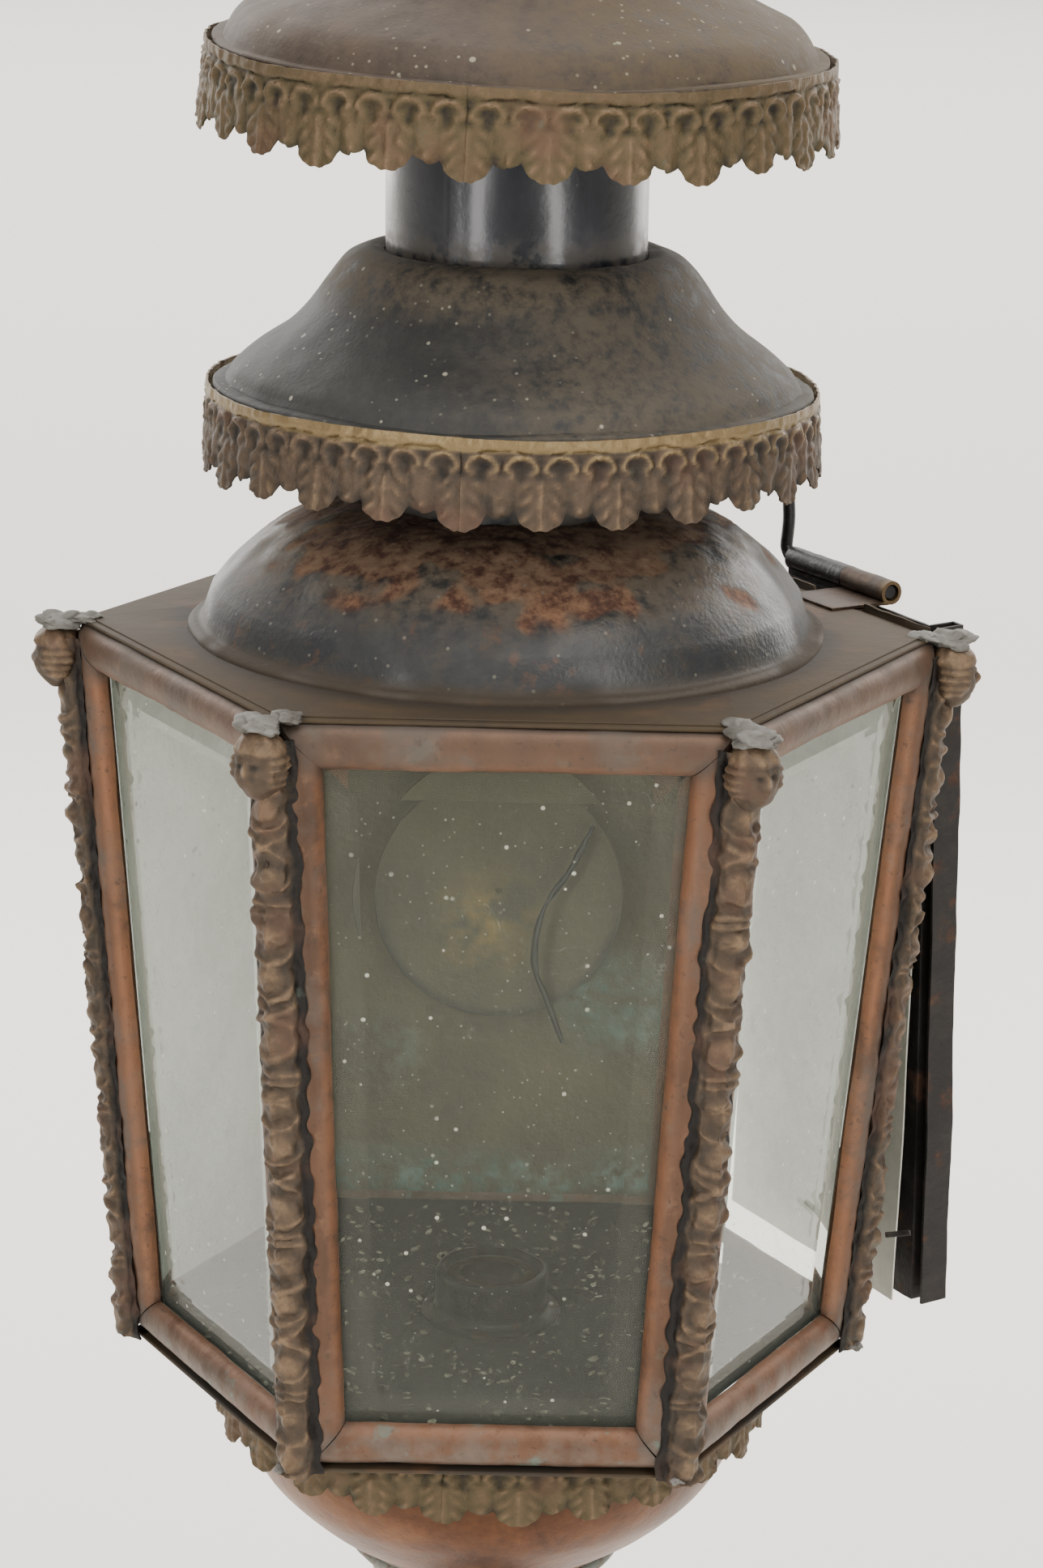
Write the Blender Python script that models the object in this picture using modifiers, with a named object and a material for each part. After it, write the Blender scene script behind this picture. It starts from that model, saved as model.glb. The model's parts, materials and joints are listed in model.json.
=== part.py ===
"""Six-sided copper coach lamp with three bevelled panes, stacked chimney caps and a candle tail.

Metres, +Z up. The front pane faces -Y. The origin is on the lamp's axis, in the plane of the
tail collar's underside, where the collar rests on the rim of a carriage bracket's socket.
"""
import math

import bmesh
import bpy

for old_object in list(bpy.data.objects):
    bpy.data.objects.remove(old_object, do_unlink=True)

# ---- Driving dimensions. Heights are measured from the roof plate's top, which is height 0.
ROOF_HEIGHT = 0.372         # roof plate above the collar's underside
BODY_RADIUS = 0.130         # axis to a corner of the frames' outer faces, at the roof
BODY_TAPER = 0.0789         # how much that radius shrinks per metre of depth
BODY_BOTTOM = -0.226
MOULDING = 0.0127           # width of the rails' half-round moulding
STILE = 0.0116
FRAME_THICKNESS = 0.005
SEAM = 0.0032               # frame edge to the corner that it shares with its neighbour
GAP = 0.0003                # clearance between pieces that touch
PANE_OVERLAP = 0.003        # glass or sheet hidden behind the frame on each side
SHEET = 0.0008              # thickness of the spun and folded sheet
TUBE_RADIUS = 0.0375
GALLERY_REPEATS = 26
HINGE_REACH = 0.121         # axis of the lamp to the axis of the door hinge
HINGE_HEIGHT = 0.004
DOOR_HANG = math.radians(2.0)
DOOR_HEIGHT = 0.219
BARREL_RADIUS = 0.00365
PIN_RADIUS = 0.0021
COLLAR_RADIUS = 0.026
TAIL_RADIUS = 0.0175
TAIL_BOTTOM = -0.530
CANDLE_RADIUS = 0.0145
CANDLE_TOP = -0.205
ROUND_STEPS = 24

FACE_TILT = math.atan(BODY_TAPER * math.cos(math.radians(30)))
BODY_APOTHEM = BODY_RADIUS * math.cos(math.radians(30))

parts = bpy.data.collections.new("coach_lamp")
bpy.context.scene.collection.children.link(parts)


def finish(name, colour, roughness, metallic, alpha=1.0):
    material = bpy.data.materials.new(name)
    material.use_nodes = True
    shader = material.node_tree.nodes["Principled BSDF"]
    shader.inputs["Base Color"].default_value = (*colour, 1.0)
    shader.inputs["Roughness"].default_value = roughness
    shader.inputs["Metallic"].default_value = metallic
    shader.inputs["Alpha"].default_value = alpha
    return material


def empty(name, parent=None, location=(0, 0, 0), rotation=(0, 0, 0)):
    marker = bpy.data.objects.new(name, None)
    marker.empty_display_size = 0.02
    marker.parent = parent
    marker.location = location
    marker.rotation_euler = rotation
    parts.objects.link(marker)
    return marker


def place(name, data, parent, colour, roughness=0.5, metallic=1.0, location=(0, 0, 0), rotation=(0, 0, 0)):
    """Link a mesh or curve as a named piece with a finish of its own."""
    piece = bpy.data.objects.new(name, data)
    piece.parent = parent
    piece.location = location
    piece.rotation_euler = rotation
    data.materials.append(finish(name + "_finish", colour, roughness, metallic))
    parts.objects.link(piece)
    return piece


def outline_curve(name, outlines, thickness):
    """A flat plate: closed outlines in the local XY plane, the later ones being holes."""
    curve = bpy.data.curves.new(name, "CURVE")
    curve.dimensions = "2D"
    curve.fill_mode = "BOTH"
    curve.extrude = thickness / 2
    for points in outlines:
        spline = curve.splines.new("POLY")
        spline.points.add(len(points) - 1)
        for point, (x, y) in zip(spline.points, points):
            point.co = (x, y, 0, 1)
        spline.use_cyclic_u = True
    return curve


def wire_curve(name, points, radius, resolution=2):
    curve = bpy.data.curves.new(name, "CURVE")
    curve.dimensions = "3D"
    curve.bevel_depth = radius
    curve.bevel_resolution = resolution
    curve.use_fill_caps = True
    spline = curve.splines.new("POLY")
    spline.points.add(len(points) - 1)
    for point, place_xyz in zip(spline.points, points):
        point.co = (*place_xyz, 1)
    return curve


def polygon(radius, count, turn=0.0):
    angles = [turn + 2 * math.pi * i / count for i in range(count)]
    return [(radius * math.cos(a), radius * math.sin(a)) for a in angles]


def profile_mesh(name, profile, closed=False):
    mesh = bpy.data.meshes.new(name)
    edges = [(i, i + 1) for i in range(len(profile) - 1)]
    if closed:
        edges.append((len(profile) - 1, 0))
    mesh.from_pydata([(radius, 0, height) for radius, height in profile], edges, [])
    return mesh


def turn(piece, steps=ROUND_STEPS):
    screw = piece.modifiers.new("turn", "SCREW")
    screw.steps = steps
    screw.render_steps = steps
    screw.use_merge_vertices = True
    screw.merge_threshold = 0.00001
    weld = piece.modifiers.new("close_poles", "WELD")
    weld.merge_threshold = 0.00001
    return piece


def turned_shell(name, profile, parent, colour, thickness=SHEET, steps=ROUND_STEPS, **looks):
    """Spun sheet: the profile is the outer face, top to bottom, and the wall goes inwards."""
    piece = turn(place(name, profile_mesh(name, profile), parent, colour, **looks), steps)
    wall = piece.modifiers.new("wall", "SOLIDIFY")
    wall.thickness = thickness
    wall.offset = -1
    return piece


def turned_solid(name, profile, parent, colour, closed=False, steps=ROUND_STEPS, **looks):
    """Solid of revolution; its profile ends on the axis, or is a closed section off it."""
    return turn(place(name, profile_mesh(name, profile, closed), parent, colour, **looks), steps)


def loft_mesh(name, rings):
    """Skin through rings of equal count, each counter-clockwise seen from the last ring's side."""
    shape = bmesh.new()
    rows = [[shape.verts.new(point) for point in ring] for ring in rings]
    count = len(rings[0])
    for low, high in zip(rows, rows[1:]):
        for i in range(count):
            j = (i + 1) % count
            shape.faces.new((low[i], low[j], high[j], high[i]))
    shape.faces.new(reversed(rows[0]))
    shape.faces.new(rows[-1])
    mesh = bpy.data.meshes.new(name)
    shape.to_mesh(mesh)
    shape.free()
    return mesh


# ---- Colours of the materials that several pieces share.
COPPER = (0.17, 0.075, 0.04)
BRASS = (0.13, 0.085, 0.045)
BLACK_IRON = (0.035, 0.037, 0.042)
RUSTY_IRON = (0.06, 0.045, 0.035)
TINNED = (0.55, 0.57, 0.52)
GLASS = (0.75, 0.82, 0.78)

lamp = empty("lamp_axis", location=(0, 0, ROOF_HEIGHT))


def face_marker(name, angle):
    """Empty on a face of the body: X along the face, Y up its slope, Z out of it."""
    heading = math.radians(angle)
    spot = (BODY_APOTHEM * math.cos(heading), BODY_APOTHEM * math.sin(heading), 0)
    return empty(name, lamp, spot, (math.radians(90) + FACE_TILT, 0, heading + math.radians(90)))


def face_outline(top, bottom, inset):
    """Tapered outline on a face between two heights, its sides inset from the corners."""
    corners = []
    for side, height in ((-1, bottom), (1, bottom), (1, top), (-1, top)):
        half = (BODY_RADIUS + BODY_TAPER * height) / 2 - inset
        corners.append((side * half, height / math.cos(FACE_TILT)))
    return corners


# ---- Six copper frames, with glass in three, sheet in two and the hinged door behind the last.
FACES = {"front": 270, "front_right": 330, "rear_right": 30, "rear": 90, "rear_left": 150, "front_left": 210}
FRAME_TOP = -0.0015
SIGHT_TOP = FRAME_TOP - MOULDING
SIGHT_BOTTOM = BODY_BOTTOM + MOULDING
SIGHT_INSET = SEAM + STILE
PANE_DEPTH = FRAME_THICKNESS + GAP
PANE_THICKNESS = 0.0032
PANE_BEVEL = 0.012
PANE_EDGE = 0.0014          # what the bevel leaves of the pane's thickness at its rim

markers = {name: face_marker(name + "_face", angle) for name, angle in FACES.items()}


def pane_outline(shrink=0.0):
    return face_outline(SIGHT_TOP + PANE_OVERLAP - shrink, SIGHT_BOTTOM - PANE_OVERLAP + shrink,
                        SIGHT_INSET - PANE_OVERLAP + shrink)


for name, marker in markers.items():
    sections = [face_outline(FRAME_TOP, BODY_BOTTOM, SEAM), face_outline(SIGHT_TOP, SIGHT_BOTTOM, SIGHT_INSET)]
    frame_curve = outline_curve(name + "_frame", sections, FRAME_THICKNESS)
    frame = place(name + "_frame", frame_curve, marker, COPPER, 0.45, location=(0, 0, -FRAME_THICKNESS / 2))
    weld = frame.modifiers.new("join_caps", "WELD")
    weld.merge_threshold = 0.00001
    rounding = frame.modifiers.new("round_edges", "BEVEL")
    rounding.width = 0.0018
    rounding.segments = 1
    rounding.limit_method = "ANGLE"

for name in ("front", "front_left", "front_right"):
    back, rim, face = -PANE_DEPTH - PANE_THICKNESS, -PANE_DEPTH - PANE_THICKNESS + PANE_EDGE, -PANE_DEPTH
    levels = [(back, 0.0), (rim, 0.0), (face, PANE_BEVEL)]
    rings = [[(x, y, depth) for x, y in pane_outline(shrink)] for depth, shrink in levels]
    pane = place(name + "_glass", loft_mesh(name + "_glass", rings), markers[name], GLASS, 0.08, 0.0)
    pane.active_material.node_tree.nodes["Principled BSDF"].inputs["Transmission Weight"].default_value = 0.9


def face_sheet(name, face, depth, thickness, colour, roughness, shrink=0.0):
    curve = outline_curve(name, [pane_outline(shrink)], thickness)
    return place(name, curve, markers[face], colour, roughness, location=(0, 0, -depth - thickness / 2))


REFLECTOR_DEPTH = PANE_DEPTH + SHEET + GAP
REFLECTOR_SHEET = 0.0005
face_sheet("rear_left_wall", "rear_left", PANE_DEPTH, SHEET, COPPER, 0.5)
face_sheet("rear_wall", "rear", PANE_DEPTH, SHEET, COPPER, 0.5)
face_sheet("rear_left_reflector", "rear_left", REFLECTOR_DEPTH, REFLECTOR_SHEET, TINNED, 0.35, 0.001)

# Round dished reflector on the rear wall, and the stiff bent wire in front of it.
DISH_RADIUS = 0.0405
DISH_DEPTH = 0.008
DISH_HEIGHT = -0.113
dish_floor = -REFLECTOR_DEPTH - SHEET
dish_profile = []
for i in range(5):
    reach = 0.003 + (DISH_RADIUS - 0.003) * i / 4
    dish_profile.append((reach, dish_floor - DISH_DEPTH * (reach / DISH_RADIUS) ** 2))
turned_shell("round_reflector", dish_profile, markers["rear"], RUSTY_IRON, 0.0006,
             location=(0, DISH_HEIGHT, 0), roughness=0.6)

wire_route = [(0.030, -0.088), (0.023, -0.103), (0.0145, -0.117), (0.012, -0.134), (0.0165, -0.147), (0.022, -0.161)]
wire_depth = dish_floor - DISH_DEPTH - 0.003
wire_points = [(-x, height, wire_depth) for x, height in wire_route]
place("reflector_wire", wire_curve("reflector_wire", wire_points, 0.0009), markers["rear"], BLACK_IRON, 0.7)

# ---- Roof plate, floor and the ring under the frames.
ROOF_RADIUS = 0.126
PLATE = 0.0012
FLOOR_TOP = -0.2186
CANDLE_HOLE = CANDLE_RADIUS + 0.0007


def hexagon_plate(name, radius, hole, top, thickness, colour, roughness):
    curve = outline_curve(name, [polygon(radius, 6), polygon(hole, ROUND_STEPS)], thickness)
    return place(name, curve, lamp, colour, roughness, location=(0, 0, top - thickness / 2))


hexagon_plate("top_plate", ROOF_RADIUS, 0.060, 0.0, PLATE, COPPER, 0.55)
hexagon_plate("floor_plate", 0.1062, CANDLE_HOLE, FLOOR_TOP, 0.0010, RUSTY_IRON, 0.8)
hexagon_plate("base_ring", 0.1108, 0.060, BODY_BOTTOM - 0.0005, PLATE, COPPER, 0.55)

# ---- Stamped brass strips on the six corners, each with a head at its top.
STRIP_LEG = 0.0088
STRIP_PITCH = 0.0165        # two stations make one scallop


def strip_section(height, leg, edge, ridge):
    """Section of a corner strip at a height: a wide V that laps both faces, thickest in the middle."""
    corner = BODY_RADIUS + BODY_TAPER * height + GAP / math.cos(math.radians(30)) + 0.0001
    side = []
    for along, out in ((leg, 0.0), (leg, edge), (leg * 0.55, (edge + ridge) / 2)):
        side.append((corner - along * 0.5 + out * 0.866, along * 0.866 + out * 0.5))
    mirrored = [(x, -y) for x, y in side]
    points = [(corner, 0)] + mirrored + [(corner + ridge, 0)] + side[::-1]
    return [(x, y, height) for x, y in points]


stations = [(-0.2275, 1.0, 0.0016, 0.0040)]
for i in range(13):
    swell = i % 2
    stations.append((-0.224 + i * STRIP_PITCH, 0.92 + 0.10 * swell, 0.0014 + 0.0006 * swell, 0.0040 + 0.0012 * swell))
stations += [(-0.0185, 0.75, 0.0020, 0.0050), (-0.0165, 0.95, 0.0040, 0.0098), (-0.0100, 1.0, 0.0045, 0.0112),
             (-0.0030, 0.95, 0.0045, 0.0110), (0.0014, 0.80, 0.0025, 0.0085)]
strip_rings = [strip_section(height, STRIP_LEG * width, edge, ridge) for height, width, edge, ridge in stations]
for i in range(6):
    strip_name = f"corner_strip_{i + 1}"
    turned = (0, 0, math.radians(240 + 60 * i))
    place(strip_name, loft_mesh(strip_name, strip_rings), lamp, BRASS, 0.55, rotation=turned)

# ---- Chimney: domed hood, tube, and two bell caps that the tube carries.
turned_shell("lower_dome", [(0.0381, 0.0382), (0.0460, 0.0376), (0.0580, 0.0350), (0.0700, 0.0288), (0.0803, 0.0198),
                            (0.0865, 0.0122), (0.0900, 0.0030), (0.0932, 0.0012)], lamp, BLACK_IRON, roughness=0.6)
turned_shell("chimney_tube", [(TUBE_RADIUS, 0.176), (TUBE_RADIUS, 0.030)], lamp, BLACK_IRON, roughness=0.3)
MIDDLE_RIM = 0.0722
turned_shell("middle_cap", [(0.0384, 0.1122), (0.0430, 0.1122), (0.0482, 0.1102), (0.0544, 0.1034), (0.0582, 0.0982),
                            (0.0672, 0.0886), (0.0750, 0.0830), (0.0806, 0.0782), (0.0826, 0.0745), (0.0868, MIDDLE_RIM)],
             lamp, BLACK_IRON, roughness=0.6)
TOP_RIM = 0.1685
turned_shell("top_cap", [(0.0032, 0.2165), (0.0140, 0.2150), (0.0260, 0.2102), (0.0360, 0.2040), (0.0510, 0.1915),
                         (0.0593, 0.1867), (0.0678, 0.1830), (0.0755, 0.1797), (0.0815, 0.1753), (0.0840, 0.1710),
                         (0.0876, TOP_RIM)],
             lamp, COPPER, roughness=0.55)
turned_solid("top_finial", [(0, 0.2400), (0.0042, 0.2382), (0.0062, 0.2335), (0.0042, 0.2288), (0.0030, 0.2262),
                            (0.0055, 0.2236), (0.0085, 0.2205), (0.0090, 0.2180), (0.0026, 0.2172), (0.0026, 0.2100),
                            (0, 0.2100)], lamp, COPPER, steps=20, roughness=0.5)

STRAP_LENGTH = 0.0440
for i in range(3):
    heading = math.radians(90 + 120 * i)
    reach = TUBE_RADIUS + 0.0005 + STRAP_LENGTH / 2
    strap = outline_curve(f"cap_strap_{i + 1}", [[(-STRAP_LENGTH / 2, -0.004), (STRAP_LENGTH / 2, -0.004),
                                                  (STRAP_LENGTH / 2, 0.004), (-STRAP_LENGTH / 2, 0.004)]], PLATE)
    spot = (reach * math.cos(heading), reach * math.sin(heading), 0.1706)
    place(f"cap_strap_{i + 1}", strap, lamp, BLACK_IRON, 0.6, location=spot, rotation=(0, 0, heading))

# ---- Stamped brass galleries: a plain band with a row of large and small leaves hanging from it.
LEAF_EDGE = (1.0, 0.56, 0.80, 0.56)     # share of the full drop across one repeat


def gallery(name, radius, top, drop, flare, repeats, colour):
    columns = repeats * len(LEAF_EDGE)
    shape = bmesh.new()
    band, tips = [], []
    for i in range(columns):
        angle = 2 * math.pi * i / columns
        share = LEAF_EDGE[i % len(LEAF_EDGE)]
        reach = radius + flare * share
        band.append(shape.verts.new((radius * math.cos(angle), radius * math.sin(angle), top)))
        tips.append(shape.verts.new((reach * math.cos(angle), reach * math.sin(angle), top - drop * share)))
    for i in range(columns):
        j = (i + 1) % columns
        shape.faces.new((tips[i], tips[j], band[j], band[i]))
    mesh = bpy.data.meshes.new(name)
    shape.to_mesh(mesh)
    shape.free()
    piece = place(name, mesh, lamp, colour, 0.5)
    wall = piece.modifiers.new("wall", "SOLIDIFY")
    wall.thickness = 0.0009
    wall.offset = 1
    return piece


gallery("middle_gallery", 0.0872, 0.0735, 0.0253, 0.0016, GALLERY_REPEATS, (0.22, 0.15, 0.06))
gallery("top_gallery", 0.0880, 0.1697, 0.0253, 0.0018, GALLERY_REPEATS, BRASS)
gallery("bottom_gallery", 0.0826, -0.2282, 0.0222, 0.0008, 24, BRASS)

# ---- Bowl, bead, stem, collar and tail below the body.
turned_shell("bowl", [(0.0800, -0.2282), (0.0796, -0.2400), (0.0765, -0.2535), (0.0655, -0.2712), (0.0555, -0.2812),
                      (0.0433, -0.2896)], lamp, COPPER, roughness=0.4)
BEAD_HEIGHT = -0.2923
bead_section = [(0.0410 + x, BEAD_HEIGHT + y) for x, y in reversed(polygon(0.0019, 6))]
turned_solid("bead_ring", bead_section, lamp, COPPER, closed=True, roughness=0.3)
COLLAR_TOP = -0.3655
COLLAR_BOTTOM = -ROOF_HEIGHT
turned_shell("stem", [(0.0385, -0.2952), (0.0346, -0.3063), (0.0260, -0.3350), (0.0205, -0.3570),
                      (0.0194, COLLAR_TOP + GAP)], lamp, COPPER, roughness=0.4)
collar_section = [(TAIL_RADIUS + GAP, COLLAR_TOP), (COLLAR_RADIUS - 0.002, COLLAR_TOP),
                  (COLLAR_RADIUS, COLLAR_TOP - 0.0022), (COLLAR_RADIUS, COLLAR_BOTTOM),
                  (TAIL_RADIUS + GAP, COLLAR_BOTTOM)]
turned_solid("tail_collar", collar_section, lamp, COPPER, closed=True, roughness=0.4)
turned_shell("tail_tube", [(TAIL_RADIUS, COLLAR_TOP + 0.009), (TAIL_RADIUS, COLLAR_BOTTOM), (0.0166, TAIL_BOTTOM)],
             lamp, COPPER, roughness=0.4)

# ---- Candle works: nozzle on the floor, and the tube, follower, spring and cap that drop out below.
NOZZLE_BOTTOM = FLOOR_TOP + GAP
nozzle_section = [(CANDLE_HOLE, -0.2035), (0.0165, -0.2035), (0.0172, -0.2045), (0.0172, -0.2150),
                  (0.0215, NOZZLE_BOTTOM + 0.0012), (0.0215, NOZZLE_BOTTOM), (CANDLE_HOLE, NOZZLE_BOTTOM)]
turned_solid("candle_nozzle", nozzle_section, lamp, BLACK_IRON, closed=True, roughness=0.7)
turned_shell("candle_tube", [(0.0100, CANDLE_TOP), (0.0136, CANDLE_TOP), (CANDLE_RADIUS, CANDLE_TOP - 0.0009),
                             (CANDLE_RADIUS, TAIL_BOTTOM)], lamp, COPPER, roughness=0.4)
FOLLOWER_TOP = CANDLE_TOP - SHEET - GAP
turned_solid("candle_follower", [(0, FOLLOWER_TOP), (0.0120, FOLLOWER_TOP), (0.0131, FOLLOWER_TOP - 0.001),
                                 (0.0131, FOLLOWER_TOP - 0.012), (0.0122, FOLLOWER_TOP - 0.012),
                                 (0.0122, FOLLOWER_TOP - 0.0015), (0, FOLLOWER_TOP - 0.0015)],
             lamp, BRASS, roughness=0.5)
SPRING_WIRE = 0.0008
SPRING_TURNS = 8
POINTS_PER_TURN = 6
PLUG_TOP = TAIL_BOTTOM + 0.011
spring_top = FOLLOWER_TOP - 0.0015 - SPRING_WIRE - GAP
spring_bottom = PLUG_TOP + SPRING_WIRE + GAP
coil = []
for i in range(SPRING_TURNS * POINTS_PER_TURN + 1):
    angle = 2 * math.pi * i / POINTS_PER_TURN
    height = spring_bottom + (spring_top - spring_bottom) * i / (SPRING_TURNS * POINTS_PER_TURN)
    coil.append((0.0102 * math.cos(angle), 0.0102 * math.sin(angle), height))
place("candle_spring", wire_curve("candle_spring", coil, SPRING_WIRE, 1), lamp, RUSTY_IRON, 0.4)
CAP_TOP = TAIL_BOTTOM - GAP
turned_solid("tail_cap", [(0, PLUG_TOP), (0.0120, PLUG_TOP), (0.0131, PLUG_TOP - 0.001), (0.0131, CAP_TOP),
                          (0.0185, CAP_TOP), (0.0195, CAP_TOP - 0.0012), (0.0195, CAP_TOP - 0.0060),
                          (0.0165, CAP_TOP - 0.0090), (0.0080, CAP_TOP - 0.0115), (0.0055, CAP_TOP - 0.0140),
                          (0.0082, CAP_TOP - 0.0172), (0.0088, CAP_TOP - 0.0210), (0.0066, CAP_TOP - 0.0252),
                          (0, CAP_TOP - 0.0270)], lamp, COPPER, roughness=0.4)

# ---- Rear right door: markers on the hinge axis, with X out of the lamp, Y up and Z along the axis.
rear_right = math.radians(FACES["rear_right"])
hinge_spot = (HINGE_REACH * math.cos(rear_right), HINGE_REACH * math.sin(rear_right), HINGE_HEIGHT)
hinge = empty("hinge_axis", lamp, hinge_spot, (math.radians(90), 0, rear_right))
door = empty("door_hanging", hinge, rotation=(0, 0, DOOR_HANG))
upright = (math.radians(90), 0, 0)          # turns a flat section so that it is extruded along Y
sideways = (0, math.radians(90), 0)         # turns a flat outline so that it faces X

PANEL_INNER = -0.0035
PANEL_SHEET = 0.0010
CHANNEL_INNER = 0.0490
CHANNEL_OUTER = 0.0540
CHANNEL_DEPTH = 0.0065
PANEL_TOP = -HINGE_HEIGHT - 0.0005    # clear of the frame knuckle's leaf when the door shuts
PANEL_BOTTOM = -HINGE_HEIGHT - DOOR_HEIGHT
section = [(PANEL_INNER, CHANNEL_INNER), (CHANNEL_DEPTH - PANEL_SHEET, CHANNEL_INNER),
           (CHANNEL_DEPTH - PANEL_SHEET, CHANNEL_OUTER - PANEL_SHEET), (PANEL_INNER, CHANNEL_OUTER - PANEL_SHEET),
           (PANEL_INNER, CHANNEL_OUTER), (CHANNEL_DEPTH, CHANNEL_OUTER),
           (CHANNEL_DEPTH, CHANNEL_INNER - PANEL_SHEET), (PANEL_INNER + PANEL_SHEET, CHANNEL_INNER - PANEL_SHEET)]
section += [(out, -along) for out, along in reversed(section)]
place("door_panel", outline_curve("door_panel", [section], PANEL_TOP - PANEL_BOTTOM), door, RUSTY_IRON, 0.7,
      location=(0, (PANEL_TOP + PANEL_BOTTOM) / 2, 0), rotation=upright)

backing = [(-0.0410, PANEL_BOTTOM + 0.008), (0.0410, PANEL_BOTTOM + 0.008), (0.0460, PANEL_TOP - 0.014),
           (-0.0460, PANEL_TOP - 0.014)]
place("door_reflector", outline_curve("door_reflector", [backing], REFLECTOR_SHEET), door, TINNED, 0.35,
      location=(PANEL_INNER - GAP - REFLECTOR_SHEET / 2, 0, 0), rotation=sideways)


def knuckle_outlines(leaf_low, leaf_high, leaf_length):
    """Hinge knuckle in section: a ring with a leaf going down between two offsets from its axis."""
    start = -math.acos(leaf_high / BARREL_RADIUS)
    stop = 2 * math.pi - math.acos(leaf_low / BARREL_RADIUS)
    arc = [start + (stop - start) * i / 20 for i in range(21)]
    ring = [(BARREL_RADIUS * math.cos(a), BARREL_RADIUS * math.sin(a)) for a in arc]
    return [ring + [(leaf_low, -leaf_length), (leaf_high, -leaf_length)], polygon(PIN_RADIUS + 0.0004, 20)]


DOOR_BARREL = (-0.028, 0.0018)
FRAME_BARREL = (0.0021, 0.0250)
leaf_outer = PANEL_INNER + PANEL_SHEET + GAP
door_knuckle = outline_curve("door_knuckle", knuckle_outlines(leaf_outer, leaf_outer + 0.001, 0.026),
                             DOOR_BARREL[1] - DOOR_BARREL[0])
place("door_knuckle", door_knuckle, door, BLACK_IRON, 0.6, location=(0, 0, sum(DOOR_BARREL) / 2))
frame_knuckle = outline_curve("frame_knuckle", knuckle_outlines(BARREL_RADIUS - 0.001, BARREL_RADIUS, 0.022),
                              FRAME_BARREL[1] - FRAME_BARREL[0])
place("frame_knuckle", frame_knuckle, hinge, COPPER, 0.5, location=(0, 0, sum(FRAME_BARREL) / 2),
      rotation=(0, 0, math.radians(-90)))

PIN_BEND = 0.004
PIN_BACK = -0.0325
PIN_RISE = 0.034
pin_points = [(0, 0, FRAME_BARREL[1] - 0.0008), (0, 0, PIN_BACK + PIN_BEND)]
for i in range(1, 5):
    angle = math.radians(22.5 * i)
    pin_points.append((0, PIN_BEND * (1 - math.cos(angle)), PIN_BACK + PIN_BEND * (1 - math.sin(angle))))
pin_points.append((0, PIN_RISE, PIN_BACK))
place("hinge_pin", wire_curve("hinge_pin", pin_points, PIN_RADIUS), hinge, BLACK_IRON, 0.4)

# Raised lip along the rear right roof edge, notched where the hinge leaf crosses it.
LIP_REACH = ROOF_RADIUS * math.cos(math.radians(30)) + GAP + 0.0004
lip_low, lip_notch, lip_high = -0.0011, 0.0, 0.0026
lip_outline = [(-0.060, lip_low), (0.060, lip_low), (0.060, lip_high), (0.0262, lip_high), (0.0262, lip_notch),
               (0.0008, lip_notch), (0.0008, lip_high), (-0.060, lip_high)]
lip_outline = [(-along, height - HINGE_HEIGHT) for along, height in lip_outline]
place("roof_lip", outline_curve("roof_lip", [lip_outline], SHEET), hinge, COPPER, 0.5,
      location=(LIP_REACH - HINGE_REACH, 0, 0), rotation=sideways)

# Wire stub that catches the closed door, soldered to the right-hand corner strip.
CATCH_HEIGHT = -0.190
catch_start = BODY_RADIUS + BODY_TAPER * CATCH_HEIGHT + 0.0065
catch_points = [(catch_start, 0, CATCH_HEIGHT), (catch_start + 0.004, -0.0006, CATCH_HEIGHT + 0.0004),
                (catch_start + 0.0075, -0.0020, CATCH_HEIGHT + 0.0012)]
place("door_catch", wire_curve("door_catch", catch_points, 0.0009), lamp, BRASS, 0.5)

for piece in parts.objects:
    if piece.type == "MESH":
        piece.data.shade_smooth()
        piece.data.set_sharp_from_angle(angle=math.radians(35))
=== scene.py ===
"""The looks of a six-sided copper coach lamp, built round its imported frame. Metres, +Z up."""
import json
import math
import random

import bpy
import numpy as np
from mathutils import Matrix, Vector, noise


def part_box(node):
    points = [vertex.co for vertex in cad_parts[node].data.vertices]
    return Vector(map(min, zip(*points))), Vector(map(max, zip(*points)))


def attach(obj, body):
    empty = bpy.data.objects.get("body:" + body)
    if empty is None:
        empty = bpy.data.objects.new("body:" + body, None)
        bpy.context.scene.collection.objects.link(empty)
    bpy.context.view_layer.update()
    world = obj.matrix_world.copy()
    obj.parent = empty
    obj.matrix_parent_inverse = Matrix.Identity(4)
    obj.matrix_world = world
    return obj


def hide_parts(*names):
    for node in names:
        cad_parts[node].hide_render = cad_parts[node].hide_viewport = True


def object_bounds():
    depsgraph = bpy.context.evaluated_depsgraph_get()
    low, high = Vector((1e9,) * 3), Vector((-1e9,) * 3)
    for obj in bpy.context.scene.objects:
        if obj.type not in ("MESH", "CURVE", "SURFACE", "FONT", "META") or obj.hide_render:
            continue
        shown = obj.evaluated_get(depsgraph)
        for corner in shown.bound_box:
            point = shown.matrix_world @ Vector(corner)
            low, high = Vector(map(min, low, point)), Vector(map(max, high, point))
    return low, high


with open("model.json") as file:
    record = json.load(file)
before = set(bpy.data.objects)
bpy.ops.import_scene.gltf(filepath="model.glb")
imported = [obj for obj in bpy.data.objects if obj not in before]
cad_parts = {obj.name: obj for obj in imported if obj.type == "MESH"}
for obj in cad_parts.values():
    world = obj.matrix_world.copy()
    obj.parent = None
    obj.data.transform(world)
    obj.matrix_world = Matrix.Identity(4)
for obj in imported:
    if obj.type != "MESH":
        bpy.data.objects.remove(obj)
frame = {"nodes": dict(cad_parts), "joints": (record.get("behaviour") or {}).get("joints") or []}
cad_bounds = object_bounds()

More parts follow.
